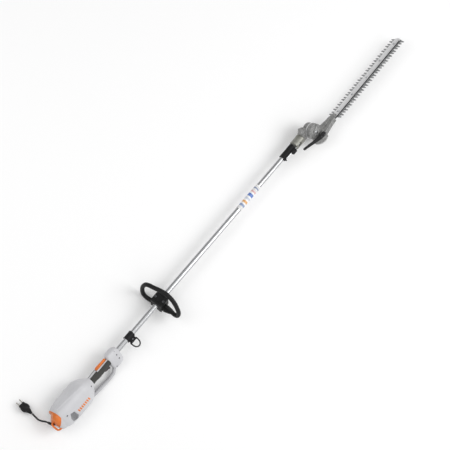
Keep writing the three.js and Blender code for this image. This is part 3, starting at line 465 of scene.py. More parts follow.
class TrimmerSizes(bpy.types.PropertyGroup):
    """Sizes of details, in millimetres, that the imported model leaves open"""

    wall: FloatProperty(name="Housing wall", description="Thickness of the motor housing in millimetres",
                        default=3.0, min=1.5, max=6.0)
    crease: FloatProperty(name="Housing crease", description="Depth of the side panel in millimetres",
                          default=1.7, min=0.0, max=3.0)
    edge: FloatProperty(name="Edge rounding", description="Rounding of moulded edges in millimetres",
                        default=1.2, min=0.2, max=3.0)
    grind: FloatProperty(name="Tooth grind", description="Width of the ground tooth edges in millimetres",
                         default=1.0, min=0.2, max=1.1)
    slits: IntProperty(name="Vent slits", description="Slits in each air grille", default=5, min=2, max=8)
    ribs: IntProperty(name="Loop ribs", description="Ribs on the arm of the loop handle",
                      default=9, min=0, max=14)
    bars: IntProperty(name="Side bars", description="Slanted bars on the side of the housing",
                      default=7, min=0, max=10)
    grooves: IntProperty(name="Sleeve grooves", description="Finger grooves round the lock sleeve",
                         default=8, min=0, max=12)


class TrimmerColours(bpy.types.PropertyGroup):
    """Colours of the finishes"""

    housing: colour_setting("Housing", "Motor housing and handle block", (206, 206, 209))
    # the guard's darker grey is painted shade: the housing's white plastic greyed as if shaded, since the bar
    # lies below the grip
    guard: colour_setting("Guard", "Knuckle guard", (190, 190, 193))
    orange: colour_setting("Orange", "Rear cap, lockout lever and side bars", (229, 122, 50))
    black: colour_setting("Black", "Loop handle, sleeve and clamps", (30, 30, 31))
    grip: colour_setting("Soft grip", "Soft cover of the rear grip", (62, 62, 60))
    trigger: colour_setting("Trigger", "Trigger", (58, 44, 46))
    tube: colour_setting("Tube", "Drawn aluminium tube", (222, 223, 225))
    neck: colour_setting("Neck", "Neck tube casting", (154, 154, 146))
    casting: colour_setting("Casting", "Gear cases and crank case", (160, 160, 159))
    blade: colour_setting("Blade", "Ground cutter blades", (166, 167, 168))
    strip: colour_setting("Guide bar", "Bright strip over the blades", (232, 232, 233))


# ---------- finishes ----------
FINISHES = {}


def scaled(colour, share):
    return tuple(min(1.0, value * share) for value in colour)


def plastic(name, colour, shade=0.9, rough=0.42, grain=1100.0, depth=0.00003, level=0.45, wear=0.0):
    """Moulded plastic: a fine spark texture, faint clouding and rubbed edges."""
    board = Board(name)
    cloud = board.noise(16.0, 4.0)
    fine = board.noise(grain, 2.0, 0.6)
    tone = board.mix(board.band(cloud, 0.34, 0.68), scaled(colour, shade), colour)
    if wear:
        tone = board.mix(board.worn_edge() * wear, tone, scaled(colour, 2.6))
    rub = board.band(board.noise(55.0, 5.0, 0.7), 0.5, 0.75)
    return board.finish(tone, fine * 0.14 + rub * 0.06 + (rough - 0.09), board.bump(fine, depth),
                        level=level)


def rubber(name, colour, rough=0.8, grain=950.0):
    """Soft cover: round dimples, dusty in the hollows."""
    board = Board(name)
    dimples = board.grains(grain)
    dust = board.band(board.noise(30.0, 4.0), 0.45, 0.75)
    tone = board.mix(dust * 0.5, colour, scaled(colour, 1.5))
    return board.finish(tone, dimples * 0.2 + (rough - 0.1), board.bump(dimples, 0.00015), level=0.3,
                        sheen=0.15)


def drawn_metal(name, colour, dark=0.62, rough=0.16, along=(5.0, 620.0, 620.0), metal=1.0):
    """Metal with lengthwise lines from drawing or rolling."""
    board = Board(name)
    lines = board.noise(1.0, 4.0, 0.65, board.stretched(along))
    haze = board.noise(24.0, 4.0)
    tone = board.mix(board.band(lines, 0.32, 0.66), scaled(colour, dark), colour)
    return board.finish(tone, lines * 0.16 + haze * 0.1 + (rough - 0.08), board.bump(lines, 0.00002),
                        metal=metal)


def cast_metal(name, colour, dark=0.62, rough=0.5, metal=0.55, grain=850.0):
    """Blasted casting with small pits and darker hollows."""
    board = Board(name)
    pits = board.grains(grain)
    cloud = board.noise(110.0, 5.0, 0.7)
    tone = board.mix(board.band(cloud, 0.4, 0.6), scaled(colour, dark), colour)
    tone = board.mix(board.worn_edge() * 0.55, tone, scaled(colour, 1.7))
    return board.finish(tone, cloud * 0.2 + (rough - 0.1), board.bump(pits + cloud * 0.6, 0.00008),
                        metal=metal)


def printed_film(name):
    """White wrap-round film with blocks of blue, sand and pink and grey lines of small print."""
    low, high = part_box("tube_label")
    board = Board(name)
    across = (board.axis(0) - low[0]) / (high[0] - low[0])
    tone = (0.86, 0.86, 0.85)
    blocks = [(0.12, 0.2, tint(140, 156, 190)), (0.26, 0.34, tint(226, 170, 110)),
              (0.4, 0.47, tint(200, 206, 220)), (0.53, 0.64, tint(96, 128, 196)),
              (0.7, 0.76, tint(220, 176, 176)), (0.85, 0.9, tint(150, 162, 190))]
    for start, stop, colour in blocks:
        inside = (across > start) * (across < stop)
        tone = board.mix(inside, tone, colour)
    print_lines = board.band(board.noise(1.0, 2.0, 0.5, board.stretched((420.0, 1500.0, 1500.0))), 0.52, 0.58)
    margin = (across < 0.12) + (across > 0.76) * (across < 0.96)
    tone = board.mix(print_lines * margin * 0.6, tone, (0.08, 0.08, 0.09))
    return board.finish(tone, 0.38, coat=0.3, coat_rough=0.25)


def plug_metal(name):
    return drawn_metal(name, tint(176, 173, 165), 0.75, 0.25, (400.0, 30.0, 400.0))


def make_finishes(colours):
    """Every material, by the record's slot name."""
    FINISHES.update({
        "housing_plastic": plastic("housing_plastic", colours.housing, 0.95, 0.4, wear=0.05),
        # guard_plastic carries painted shade: a greyer copy of the housing plastic for the guard below the
        # grip
        "guard_plastic": plastic("guard_plastic", colours.guard, 0.93, 0.5),
        "orange_plastic": plastic("orange_plastic", colours.orange, 0.86, 0.38, wear=0.08),
        "trigger_plastic": plastic("trigger_plastic", colours.trigger, 0.85, 0.45),
        "grille_plastic": plastic("grille_plastic", tint(150, 150, 153), 0.8, 0.6),
        "black_plastic": plastic("black_plastic", colours.black, 0.8, 0.5, 700.0, 0.00006, 0.2, 0.12),
        "soft_grip": rubber("soft_grip", colours.grip),
        "cable_rubber": rubber("cable_rubber", tint(34, 34, 35), 0.6, 500.0),
        "tube_aluminium": drawn_metal("tube_aluminium", colours.tube),
        "label_film": printed_film("label_film"),
        "cast_alloy": cast_metal("cast_alloy", colours.casting),
        "neck_alloy": cast_metal("neck_alloy", colours.neck, 0.8, 0.42),
        "blade_steel": drawn_metal("blade_steel", colours.blade, 0.72, 0.42, (260.0, 22.0, 260.0), 0.35),
        "bar_steel": drawn_metal("bar_steel", colours.strip, 0.88, 0.34, (6.0, 420.0, 420.0), 0.35),
        "rod_steel": drawn_metal("rod_steel", tint(214, 215, 217), 0.75, 0.2),
        "dark_steel": cast_metal("dark_steel", tint(96, 97, 100), 0.6, 0.42, 0.85, 1600.0),
        "black_metal": plastic("black_metal", tint(34, 34, 35), 0.75, 0.42, 500.0, 0.00008, 0.22, 0.15),
        "motor_core": cast_metal("motor_core", tint(120, 84, 58), 0.5, 0.5, 0.7),
        "bush": plastic("bush", tint(112, 112, 104), 0.85, 0.6),
    })
    FINISHES["rod_steel_pins"] = plug_metal("pin_metal")
    # black finish for the painted shadow strip along the guide bar's edge
    FINISHES["painted_shadow_line"] = plastic("painted_shadow_line", tint(30, 30, 31), 0.8, 0.7)


def put(solid, name, body, slot, where=LEVEL, stands_for=(), sharp=38, finish=None):
    return place(solid, name, body, slot, FINISHES[finish or slot], where, stands_for, sharp)


# ---------- lead ----------
# the route of the mains lead, as in the model: millimetres from the tube's axis
LEAD_ROUTE = [
    (-443.4, 24.0, -12.5), (-445.4, 30.8, -13.6), (-448.4, 37.3, -15.9), (-451.2, 43.3, -19.4),
    (-453.6, 49.0, -24.0), (-455.2, 54.6, -29.0), (-456.0, 60.4, -33.8), (-456.0, 67.2, -38.0),
    (-455.4, 75.2, -40.6), (-454.5, 84.2, -41.4), (-453.6, 93.2, -41.4), (-453.0, 102.0, -41.4),
]


def make_lead():
    data = bpy.data.curves.new("mains_lead", "CURVE")
    data.dimensions = "3D"
    points = [LEVEL @ p for p in curve_points(LEAD_ROUTE, 34)]
    line = data.splines.new("POLY")
    line.points.add(len(points) - 1)
    for spot, p in zip(line.points, points):
        spot.co = (*p, 1.0)
    data.bevel_depth = 0.004
    data.bevel_resolution = 6
    data.use_fill_caps = True
    lead = bpy.data.objects.new("lead", data)
    bpy.context.scene.collection.objects.link(lead)
    data.materials.append(FINISHES["cable_rubber"])
    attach(lead, "pole")
    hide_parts("mains_lead")
    length = sum((b - a).length for a, b in zip(points, points[1:]))


# ---------- motor housing ----------
HINGE_X = 1407
HEAD_TILT = math.radians(1.2)
HINGE = Matrix.Translation((HINGE_X, 0, 0))
# blade head: the rolled frame, tilted about the hinge
BLADES = ROLLED @ HINGE @ Matrix.Rotation(-HEAD_TILT, 4, "Y") @ HINGE.inverted()

HOUSING_HALF_Y = 52
HOUSING_HALF_Z = 58
HOUSING_REAR = -403
HOUSING_FRONT = -184
HOUSING_ROWS = [
    (-403, 0.82), (-391, 0.92), (-371, 0.99), (-341, 1.02), (-250, 1.0), (-230, 0.9), (-212, 0.72),
    (-195, 0.5), (-184, 0.36),
]
HOUSING_FULLNESS = 3.4
HOUSING_SCREWS = [(-378, 13), (-206, 6)]
SCREW_BORE = 3.7


def half_body(rows, half_y, half_z, side, fullness=3.0, count=48, middle=0.0, groove=0.8, shaped=None):
    """Half of a body along X, with its rim rolled in to leave a groove at the middle plane."""
    rings = []
    for x, scale in rows:
        ring = [(x, side * 0.2, middle - half_z * scale + groove)]
        for i in range(count + 1):
            angle = -math.pi / 2 + math.pi * i / count
            y, z = squircle(angle, half_y * scale, half_z * scale, fullness)
            share = shaped(x, angle) if shaped else 1.0
            ring.append((x, side * max(y * share, groove), middle + z * share))
        ring.append((x, side * 0.2, middle + half_z * scale - groove))
        rings.append(ring)
    return loft(rings)


def housing_crease(depth):
    """Side panels set in below a line that runs forwards and down along the body."""
    def shaped(x, angle):
        along = (x + 394) / 158
        line = math.radians(68.6 - 18.4 * along)
        inside = min(1.0, max(0.0, (line - angle) / math.radians(1.6)))
        inside *= min(1.0, max(0.0, (angle + math.radians(50)) / math.radians(60)))
        ends = min(1.0, max(0.0, (x + 402) / 14)) * min(1.0, max(0.0, (-214 - x) / 30))
        return 1.0 - depth / HOUSING_HALF_Y * inside * ends
    return shaped


def housing_scale(x):
    fine = smooth_rows(HOUSING_ROWS, 90)
    return float(np.interp(x, fine[:, 0], fine[:, 1]))


VENT = (-353, -20, 17, 25)  # centre x, z and half sizes


def vent_outline(x, z, half_x, half_z, grow=0.0):
    half_x, half_z = half_x + grow, half_z + grow
    return [(x - half_x * 0.45, z + half_z), (x + half_x * 0.55, z + half_z * 0.8),
            (x + half_x, z - half_z * 0.35), (x + half_x * 0.5, z - half_z),
            (x - half_x, z - half_z * 0.6), (x - half_x, z + half_z * 0.2)]


def make_housing(sizes):
    rows = smooth_rows(HOUSING_ROWS, 72)
    thin = sizes.wall / HOUSING_HALF_Y
    inner = [(x + (2 if i else -3), scale - thin) for i, (x, scale) in enumerate(rows)]
    inner[-1] = (HOUSING_FRONT + 3, inner[-1][1])
    crease = housing_crease(sizes.crease)
    for name, side in (("left", 1), ("right", -1)):
        half = Solid(half_body(rows, HOUSING_HALF_Y, HOUSING_HALF_Z, side, HOUSING_FULLNESS, 60,
                               shaped=crease))
        room = Solid(half_body(inner, HOUSING_HALF_Y, HOUSING_HALF_Z, side, HOUSING_FULLNESS, 30,
                               groove=0.0)).turn(Matrix.Translation((0, -side * 2, 0)))
        reach = (0, 90) if side > 0 else (-90, 0)
        frame_recess = slab(vent_outline(*VENT, 2.5), *((48, 90) if side > 0 else (-90, -48)), "Y")
        window = slab(vent_outline(*VENT, 0.3), *reach, "Y")
        slot = Solid(block(-335, -258, -2.4, 2.4, -90, -44))
        slot.turn(Matrix.Rotation(side * math.radians(43.3), 4, "X"))
        half.cut(room, frame_recess, window, slot)
        if side < 0:
            for x, z in HOUSING_SCREWS:
                half.cut(bar(SCREW_BORE, -90, 0, "Y", (x, 0, z), 32))
        put(half, f"housing_shell_{name}", "pole", "housing_plastic", ROLLED, [f"housing_{name}"], 30)
        make_grille(sizes, name, side, rows)
    make_side_bars(sizes)


def make_grille(sizes, name, side, rows):
    skin = Solid(half_body([(x, s - 0.012) for x, s in rows[6:40]], HOUSING_HALF_Y, HOUSING_HALF_Z, side,
                           HOUSING_FULLNESS, 40))
    room = Solid(half_body([(x, s - 0.055) for x, s in rows[4:42]], HOUSING_HALF_Y, HOUSING_HALF_Z, side,
                           HOUSING_FULLNESS, 30, groove=0.0)).turn(Matrix.Translation((0, -side * 2, 0)))
    reach = (10, 90) if side > 0 else (-90, -10)
    skin.cut(room).keep(slab(vent_outline(*VENT), *reach, "Y"))
    pitch = 42.0 / sizes.slits
    for i in range(sizes.slits):
        z = VENT[1] + (i - (sizes.slits - 1) / 2) * pitch
        skin.cut(block(-363, -343, *reach, z - pitch * 0.16, z + pitch * 0.16))
    put(skin, f"vent_grille_{name}", "pole", "grille_plastic", ROLLED, [f"air_grille_{name}"])


def make_side_bars(sizes):
    """Slanted printed bars on the side, following the surface."""
    crease = housing_crease(sizes.crease)
    low, high = math.radians(187.5), math.radians(201.5)
    step = 79.0 / max(1, sizes.bars)
    for i in range(sizes.bars):
        rings = []
        start = -326 + i * step
        for k in range(7):
            angle = low + (high - low) * k / 6
            ring = []
            for x in (start + 3 * k / 6, start + 3 * k / 6 + step * 0.58):
                scale = housing_scale(x) * crease(x, math.pi - angle)
                y, z = squircle(angle, HOUSING_HALF_Y * scale, HOUSING_HALF_Z * scale, HOUSING_FULLNESS)
                ring.append((x, y, z))
            (x0, y0, z0), (x1, y1, z1) = ring
            rings.append([(x0, y0 - 0.35, z0), (x1, y1 - 0.35, z1), (x1, y1 + 0.6, z1), (x0, y0 + 0.6, z0)])
        put(Solid(loft(rings)), f"side_bar_{i + 1}", "pole", "orange_plastic", ROLLED)


# ---------- rear cap, cable hook, gland ----------
CAP_FRONT = -403.3
CAP_REAR = -431.3
CAP_ROWS = [(CAP_REAR, 0.5), (CAP_REAR + 3, 0.62), (CAP_REAR + 11, 0.74), (CAP_FRONT - 8, 0.8),
            (CAP_FRONT, 0.82)]
HOOK_Y = -14
HOOK_HALF = 22
HOOK_Z = 4


def make_rear_cap(sizes):
    rings = []
    for x, scale in smooth_rows(CAP_ROWS, 26):
        rings.append([(x, *squircle(a, HOUSING_HALF_Y * scale, HOUSING_HALF_Z * scale, HOUSING_FULLNESS))
                      for a in circle(120)])
    unroll = Matrix.Rotation(-SIDE_ROLL, 4, "X")
    slope = [(CAP_FRONT - 5, 36), (CAP_REAR - 2, 13), (CAP_REAR - 40, 13), (CAP_REAR - 40, 90),
             (CAP_FRONT - 5, 90)]
    dome = Solid(loft(rings)).cut(Solid(slab(slope, -90, 90)).turn(unroll))
    dome.bevel(sizes.edge * 1.4, 3, 28)
    skirt_line = [(-460, -55), (-434, -18), (-412, 13), (-400, 30), (-380, 30), (-380, -90), (-460, -90)]
    skirt = dome.copy().keep(slab(skirt_line, -90, 90, "Y"))
    dome.cut(slab(skirt_line, -90, 90, "Y"))
    put(dome, "rear_cap_shell", "pole", "orange_plastic", ROLLED, ["rear_cap"], 30)
    put(skirt, "rear_cap_skirt", "pole", "housing_plastic", ROLLED, sharp=30)

    tip = HOUSING_REAR - 41
    right = [(CAP_REAR + 12, 1.0), (CAP_REAR - 1, 1.0), (tip + 3, 0.82), (tip, 0.4)]
    points = [(x, HOOK_Y + share * HOOK_HALF, HOOK_Z) for x, share in right]
    points += [(x, HOOK_Y - share * HOOK_HALF, HOOK_Z) for x, share in reversed(right)]
    arch = swept(curve_points(points, 60), oval_section(4.2, 6.4, 2.6, 28))
    put(Solid(arch), "cable_hook", "pole", "orange_plastic", sharp=50)


def make_gland():
    start = Vector(LEAD_ROUTE[0])
    heading = (Vector(LEAD_ROUTE[1]) - start).normalized()
    root = start - heading * 24
    path = [root.lerp(start - heading * 0.3, i / 40) for i in range(41)]

    def section(share):
        rib = 0.45 * math.sin(share * 42) if 0.15 < share < 0.92 else 0.0
        radius = 7.0 + (5.2 - 7.0) * share + rib
        return [(radius * math.cos(a), radius * math.sin(a)) for a in circle(28)]

    body = Solid(swept(path, section))
    body.join(bar(8, CAP_REAR - 7.5, CAP_REAR - 0.3, "X", (0, root.y, root.z), 40, 1.2))
    body.keep(block(start.x - 20, CAP_REAR - 0.3, -40, 60, -40, 60))
    put(body, "lead_gland", "pole", "cable_rubber", stands_for=["cord_gland"])


# ---------- plug ----------


def make_plug():
    end = LEAD_ROUTE[-1]
    x, y, z = end
    face = y + 64
    rows = [(y + 0.9, 4.2), (y + 1.4, 5.0), (y + 8, 7.2), (y + 15, 9.4), (y + 22, 12.4), (y + 31, 18.6),
            (y + 38, 20.0), (y + 46, 19.2), (y + 55, 16.0), (face - 1.5, 15.2), (face, 14.2)]
    fine = smooth_rows(rows, 60)
    ribbed = []
    for along, radius in fine:
        lies = y + 3 < along < y + 19
        ribbed.append((along, radius + (0.5 * math.sin((along - y) * 2.6) if lies else 0.0)))
    body = Solid(turned(ribbed, "Y", (x, 0, z), 56))
    for side in (-1, 1):
        body.cut(bar(2.7, face - 8, face + 1, "Y", (x + side * 9.5, 0, z), 24))
    for turn in range(8):
        angle = math.pi * turn / 4 + math.pi / 8
        spot = (x + 20.5 * math.cos(angle), 0, z + 20.5 * math.sin(angle))
        body.cut(bar(2.0, y + 28, y + 50, "Y", spot, 20, 1.2))
    put(body, "plug_body", "pole", "black_plastic", stands_for=["plug"])
    for i, side in enumerate((-1, 1)):
        pin = Solid(bar(2.4, face - 7.7, face + 19, "Y", (x + side * 9.5, 0, z), 28, 1.1))
        put(pin, f"pin_{i + 1}", "pole", "rod_steel", stands_for=[f"plug_pin_{i + 1}"],
            finish="rod_steel_pins")


# ---------- rear handle ----------
BLOCK_HALF_Y = 22
BLOCK_HALF_Z = 45
BLOCK_MID_Z = -11
BLOCK_ROWS = [(-66, 0.62), (-62, 0.82), (-50, 0.97), (-30, 1.0), (-13, 0.94), (-4, 0.84), (0, 0.76)]
BLOCK_SCREWS = [(-21, 25), (-21, 3), (-20, -20), (-50, -44)]
GRIP_ROWS = [(-183.7, 17.4, 18.6), (-168, 16.8, 18.2), (-142, 18.6, 19.6), (-112, 18.2, 19.2),
             (-84, 17.4, 18.6), (-58, 17.2, 18.4)]
TRIGGER_REAR = -107


def make_grip():
    core = []
    cover = []
    spread = math.radians(21)
    arc = [math.pi / 2 + spread + (2 * math.pi - 2 * spread) * i / 60 for i in range(61)]
    for x, half_y, half_z in smooth_rows(GRIP_ROWS, 56):
        core.append([(x, *squircle(a, half_y - 0.5, half_z - 0.1, 2.6)) for a in circle(72)])
        swell = 0.35 * max(0.0, math.sin((x + 170) / 60 * math.pi)) if x < -110 else 0.0
        outer = [(x, *squircle(a, half_y + swell, half_z + swell, 2.6)) for a in arc]
        inner = [(x, *squircle(a, half_y - 3, half_z - 3, 2.6)) for a in reversed(arc)]
        cover.append(outer + inner)
    finger_room = block(TRIGGER_REAR - 0.5, -63, -12, 12, -45, -7)
    lever_room = block(-137, -60, -7.4, 7.4, 11.8, 40)
    spine = Solid(loft(core)).cut(finger_room, lever_room)
    put(spine, "grip_spine", "pole", "housing_plastic", ROLLED)
    soft = Solid(loft(cover)).cut(block(TRIGGER_REAR - 0.5, -50, -12.4, 12.4, -45, -7),
                                  block(-137, -50, -30, 30, 15.4, 40))
    put(soft, "grip_cover", "pole", "soft_grip", ROLLED, ["soft_grip"], 50)


def make_handle_block():
    rows = smooth_rows(BLOCK_ROWS, 40)
    for name, side in (("left", 1), ("right", -1)):
        half = Solid(half_body(rows, BLOCK_HALF_Y, BLOCK_HALF_Z, side, 3.8, 56, BLOCK_MID_Z, 0.6))
        half.cut(bar(13.0, -44.3, 5, sides=64, edge=0.1),
                 block(-80, -63, -12, 12, -45, -7), block(-80, -65, -7.4, 7.4, 11.8, 40))
        half.cut(turned([(-2.5, 13.0), (0.6, 15.4)], sides=64))
        for x, z in BLOCK_SCREWS:
            half.cut(bar(3.6 if side < 0 else 3.0, *((-60, -15) if side < 0 else (20.2, 60)), "Y",
                         (x, 0, z), 32))
        put(half, f"block_{name}", "pole", "housing_plastic", ROLLED, [f"handle_{name}"], 32)


def make_guard():
    points = [(-52, -42), (-63, -56), (-76, -67), (-100, -71), (-125, -71), (-204, -65), (-228, -55),
              (-240, -45)]
    path = curve_points([(x, 0, z) for x, z in points], 90)
    bar_shape = Solid(swept(path, oval_section(9.0, lambda s: 7.6 + 0.6 * math.cos(s * 9), 2.5, 40),
                            up=(0, 0, 1)))
    put(bar_shape, "knuckle_guard", "pole", "guard_plastic", ROLLED, ["guard_bar"], 50)


def make_trigger():
    outline = [(TRIGGER_REAR, -13.5), (TRIGGER_REAR, -20)]
    for i in range(9):
        t = i / 8
        outline.append((TRIGGER_REAR + 1 + 20 * t, -20.4 - 3.2 * t - 1.6 * math.sin(t * math.pi)))
    for i in range(7):
        angle = math.pi / 2 * i / 6
        outline.append((-84 + 7.8 * math.sin(angle), -22 - 6.4 * math.sin(math.pi / 2 + angle)))
    outline += [(-76.2, -13.5)]
    lever = Solid(slab(outline, -11.5, 11.5, "Y")).bevel(1.8, 3, 30)
    put(lever, "trigger_face", "trigger", "trigger_plastic", ROLLED, ["trigger"])


def make_lockout():
    outline = []
    for i in range(15):
        angle = math.pi / 2 + math.pi * i / 14
        outline.append((-127 + 8 * math.cos(angle), 6.6 * math.sin(angle)))
    outline += [(-116, -6.8), (-106, -6.2), (-96, -4.6), (-84, -4.8), (-72, -5.6), (-70, -4.2), (-70, 4.2),
                (-72, 5.6), (-84, 4.8), (-96, 4.6), (-106, 6.2), (-116, 6.8)]
    pad = Solid(slab(outline, 17, 26.4)).bevel(1.8, 3, 40)
    for i in range(4):
        pad.cut(bar(0.9, -8, 8, "Y", (-131 + i * 3.2, 0, 26.3), 16))
    put(pad, "lockout_pad", "lockout", "orange_plastic", ROLLED, ["lockout_lever"])


# ---------- tube, label, rod ----------
def make_tube():
    put(Solid(pipe(12.7, 11.1, -44, 1316, 0.4, 96)), "tube", "pole", "tube_aluminium",
        stands_for=["drive_tube"])
    put(Solid(pipe(13.5, 13.0, 880, 1030, 0.1, 96)), "label", "pole", "label_film",
        stands_for=["tube_label"])


# ---------- carrying ring ----------
RING_X = 84
RING_PIN_Y = -26


def make_carry_ring():
    collar = Solid(turned([(62, 15.2), (62.8, 16.4), (66, 16.4), (67, 15.7), (101, 15.7), (102, 16.4),
                           (105.2, 16.4), (106, 15.2)], sides=80))
    collar.join(Solid(block(RING_X - 16.4, RING_X + 16.4, RING_PIN_Y - 5, -8, -8, 8)).bevel(2.2, 3))
    collar.cut(bar(13.0, 60, 108, sides=80, edge=0.05), bar(3.1, 60, 108, "X", (0, RING_PIN_Y, 0), 32),
               block(60, 108, RING_PIN_Y - 6, -15, -1, 1))
    for x in (72, 96):
        collar.cut(block(x - 2.5, x + 2.5, -30, -18, 4.5, 12))
    put(collar, "ring_collar", "pole", "black_plastic", stands_for=["ring_clamp"], sharp=32)
    far = RING_PIN_Y - 34
    reach, foot = 17.6, 18.4
    points = [(RING_X - foot, RING_PIN_Y, 0), (RING_X - foot, far + 24, 0)]
    for i in range(1, 12):
        angle = math.pi * i / 12
        points.append((RING_X - reach * math.cos(angle), far + 19 - 19 * math.sin(angle), 0))
    points += [(RING_X + foot, far + 24, 0), (RING_X + foot, RING_PIN_Y, 0)]
    wire = Solid(swept(curve_points(points, 90), round_section(3.0, 24)))
    wire.join(bar(2.6, RING_X - 21.4, RING_X + 21.4, "X", (0, RING_PIN_Y, 0), 32, 1.2))
    put(wire, "ring_wire", "ring", "black_metal", stands_for=["carry_ring"], sharp=50)


# ---------- loop handle ----------
LOOP_X = 300
LOOP_LEAN = math.tan(math.radians(11))
LOOP_POINTS = [
    (99, 0), (99, 16), (95, 34), (82, 48), (60, 60), (32, 77), (3, 89), (-28, 88), (-56, 76), (-82, 54),
    (-97, 36), (-104, 18), (-102, 4), (-91, -4), (-76, -3), (-58, 2), (-40, 2), (-24, -8), (-8, -22),
    (15, -38), (40, -48), (62, -51.5), (80, -43), (92, -24),
]
CLAMP_ROLL = Matrix.Rotation(math.radians(-15), 4, "X")


def make_loop(sizes):
    path = curve_points([(LOOP_X + z * LOOP_LEAN, y, z) for y, z in LOOP_POINTS], 160, True)
    loop = Solid(swept(path, oval_section(9.8, 9.8, 2.3, 32), True, up=(1, 0, 0)))
    bed = Solid(block(LOOP_X - 27, LOOP_X + 27, -31, 31, -36, 0.1)).bevel(3.0, 4).turn(CLAMP_ROLL)
    loop.join(bed)
    web = [(LOOP_X - 25, -26), (LOOP_X - 22, -50), (LOOP_X - 14, -70), (LOOP_X - 4, -86),
           (LOOP_X + 6, -88), (LOOP_X + 9, -26)]
    loop.join(Solid(slab(web, -9, 3)).bevel(3.6, 4))
    for i in range(sizes.ribs):
        y = -37 - i * 5.2
        rear = LOOP_X - 24.5 + max(0.0, (-44 - y)) * 0.42
        loop.join(Solid(block(rear, LOOP_X + 10.5, y - 1.0, y + 1.0, -10.5, 4.6)).bevel(0.8, 2))
    loop.cut(bar(13.0, LOOP_X - 60, LOOP_X + 60, sides=80, edge=0.05),
             Solid(block(LOOP_X - 40, LOOP_X + 40, -32, 32, 0.15, 40)).turn(CLAMP_ROLL))
    put(loop, "loop_grip", "pole", "black_plastic", stands_for=["loop_handle"], sharp=34)
    cap = Solid(block(LOOP_X - 27, LOOP_X + 27, -31, 31, 0.3, 27)).bevel(3.4, 4)
    for y in (-21.7, 21.7):
        cap.cut(bar(7.4, 24.6, 30, "Z", (LOOP_X, y, 0), 40, 0.2))
    for x in (-17, 17):
        cap.cut(Solid(block(LOOP_X + x - 4, LOOP_X + x + 4, -13, 13, 24, 30)).bevel(1.0, 2))
    cap.turn(CLAMP_ROLL).cut(bar(13.0, LOOP_X - 60, LOOP_X + 60, sides=80, edge=0.05))
    put(cap, "loop_cap", "pole", "black_plastic", stands_for=["loop_clamp_cap"], sharp=34)
    for i, y in enumerate((-21.7, 21.7)):
        bolt = Solid(bar(3.2, -27, 26, "Z", (LOOP_X, y, 0), 32))
        bolt.join(bar(6.6, 25, 26.2, "Z", (LOOP_X, y, 0), 40, 0.3),
                  bar(5.6, 26.0, 30.6, "Z", (LOOP_X, y, 0), 6, 0.5))
        bolt.turn(CLAMP_ROLL)
        put(bolt, f"clamp_bolt_{i + 1}", "pole", "dark_steel", stands_for=[f"loop_bolt_{i + 1}"])


# ---------- lock sleeve ----------
SLEEVE_X = 1211
SLEEVE_FRONT = 1295
LOCK_ROD = (0, -21, -3)


def make_sleeve(sizes):
    rows = [(SLEEVE_X, 14.8), (SLEEVE_X + 1.5, 16.4), (SLEEVE_X + 7, 16.6), (SLEEVE_X + 9, 15.4)]
    step = 36.0 / max(1, sizes.grooves)
    for i in range(sizes.grooves):
        x = SLEEVE_X + 10 + i * step
        rows += [(x, 15.4), (x + step * 0.25, 16.2), (x + step * 0.6, 16.2), (x + step * 0.85, 15.4)]
    rows += [(SLEEVE_X + 47, 15.6), (SLEEVE_X + 49, 16.6), (SLEEVE_FRONT - 1.5, 16.6), (SLEEVE_FRONT, 15.0)]
    sleeve = Solid(turned(rows, sides=80))
    sleeve.join(Solid(block(SLEEVE_X, SLEEVE_X + 6, -26, -11, -10, 4)).bevel(1.8, 3))
    sleeve.join(Solid(block(SLEEVE_FRONT - 36, SLEEVE_FRONT - 9, -33, -11, -13.5, 5.5)).bevel(2.6, 4))
    sleeve.cut(bar(13.2, SLEEVE_X - 2, SLEEVE_FRONT + 2, sides=80, edge=0.05),
               bar(3.5, SLEEVE_X + 3, SLEEVE_FRONT + 2, "X", LOCK_ROD, 32, 0.05))
    put(sleeve, "sleeve", "lock", "black_plastic", ROLLED, ["lock_sleeve"], 34)
    put(Solid(bar(3.2, SLEEVE_X + 3.3, 1322, "X", LOCK_ROD, 32, 0.6)), "sleeve_rod", "lock", "rod_steel",
        ROLLED, ["lock_rod"])


# ---------- neck and gear cases ----------
LOBE_X = 1386


def hinge_disc(radius, low, high, edge=0.05, sides=96, x=HINGE_X):
    return bar(radius, low, high, "Y", (x, 0, 0), sides, edge)


def make_neck():
    neck = Solid(bar(23, 1298, 1383, "X", (0, -5, -1), 96, 1.5))
    neck.join(turned([(1340, 22.9), (1343, 24.2), (1352, 24.2), (1355, 22.9)], "X", (0, -5, -1), 96))
    lobe = Solid(hinge_disc(33.3, -45, 50, x=LOBE_X)).keep(block(1320, 1407, -60, 60, -8.3, 60))
    neck.cut(bar(13.0, 1296, 1316.3, sides=64, edge=0.05), bar(6, 1300, 1390, sides=32, edge=0.05),
             bar(3.8, 1290, 1326, "X", LOCK_ROD, 32, 0.05), hinge_disc(38.3, -60, 60), lobe,
             Solid(block(1306, 1330, -34, -20, -8.5, 2.5)).bevel(1.5, 2))
    put(neck, "neck", "pole", "neck_alloy", ROLLED, ["neck_tube"], 34)


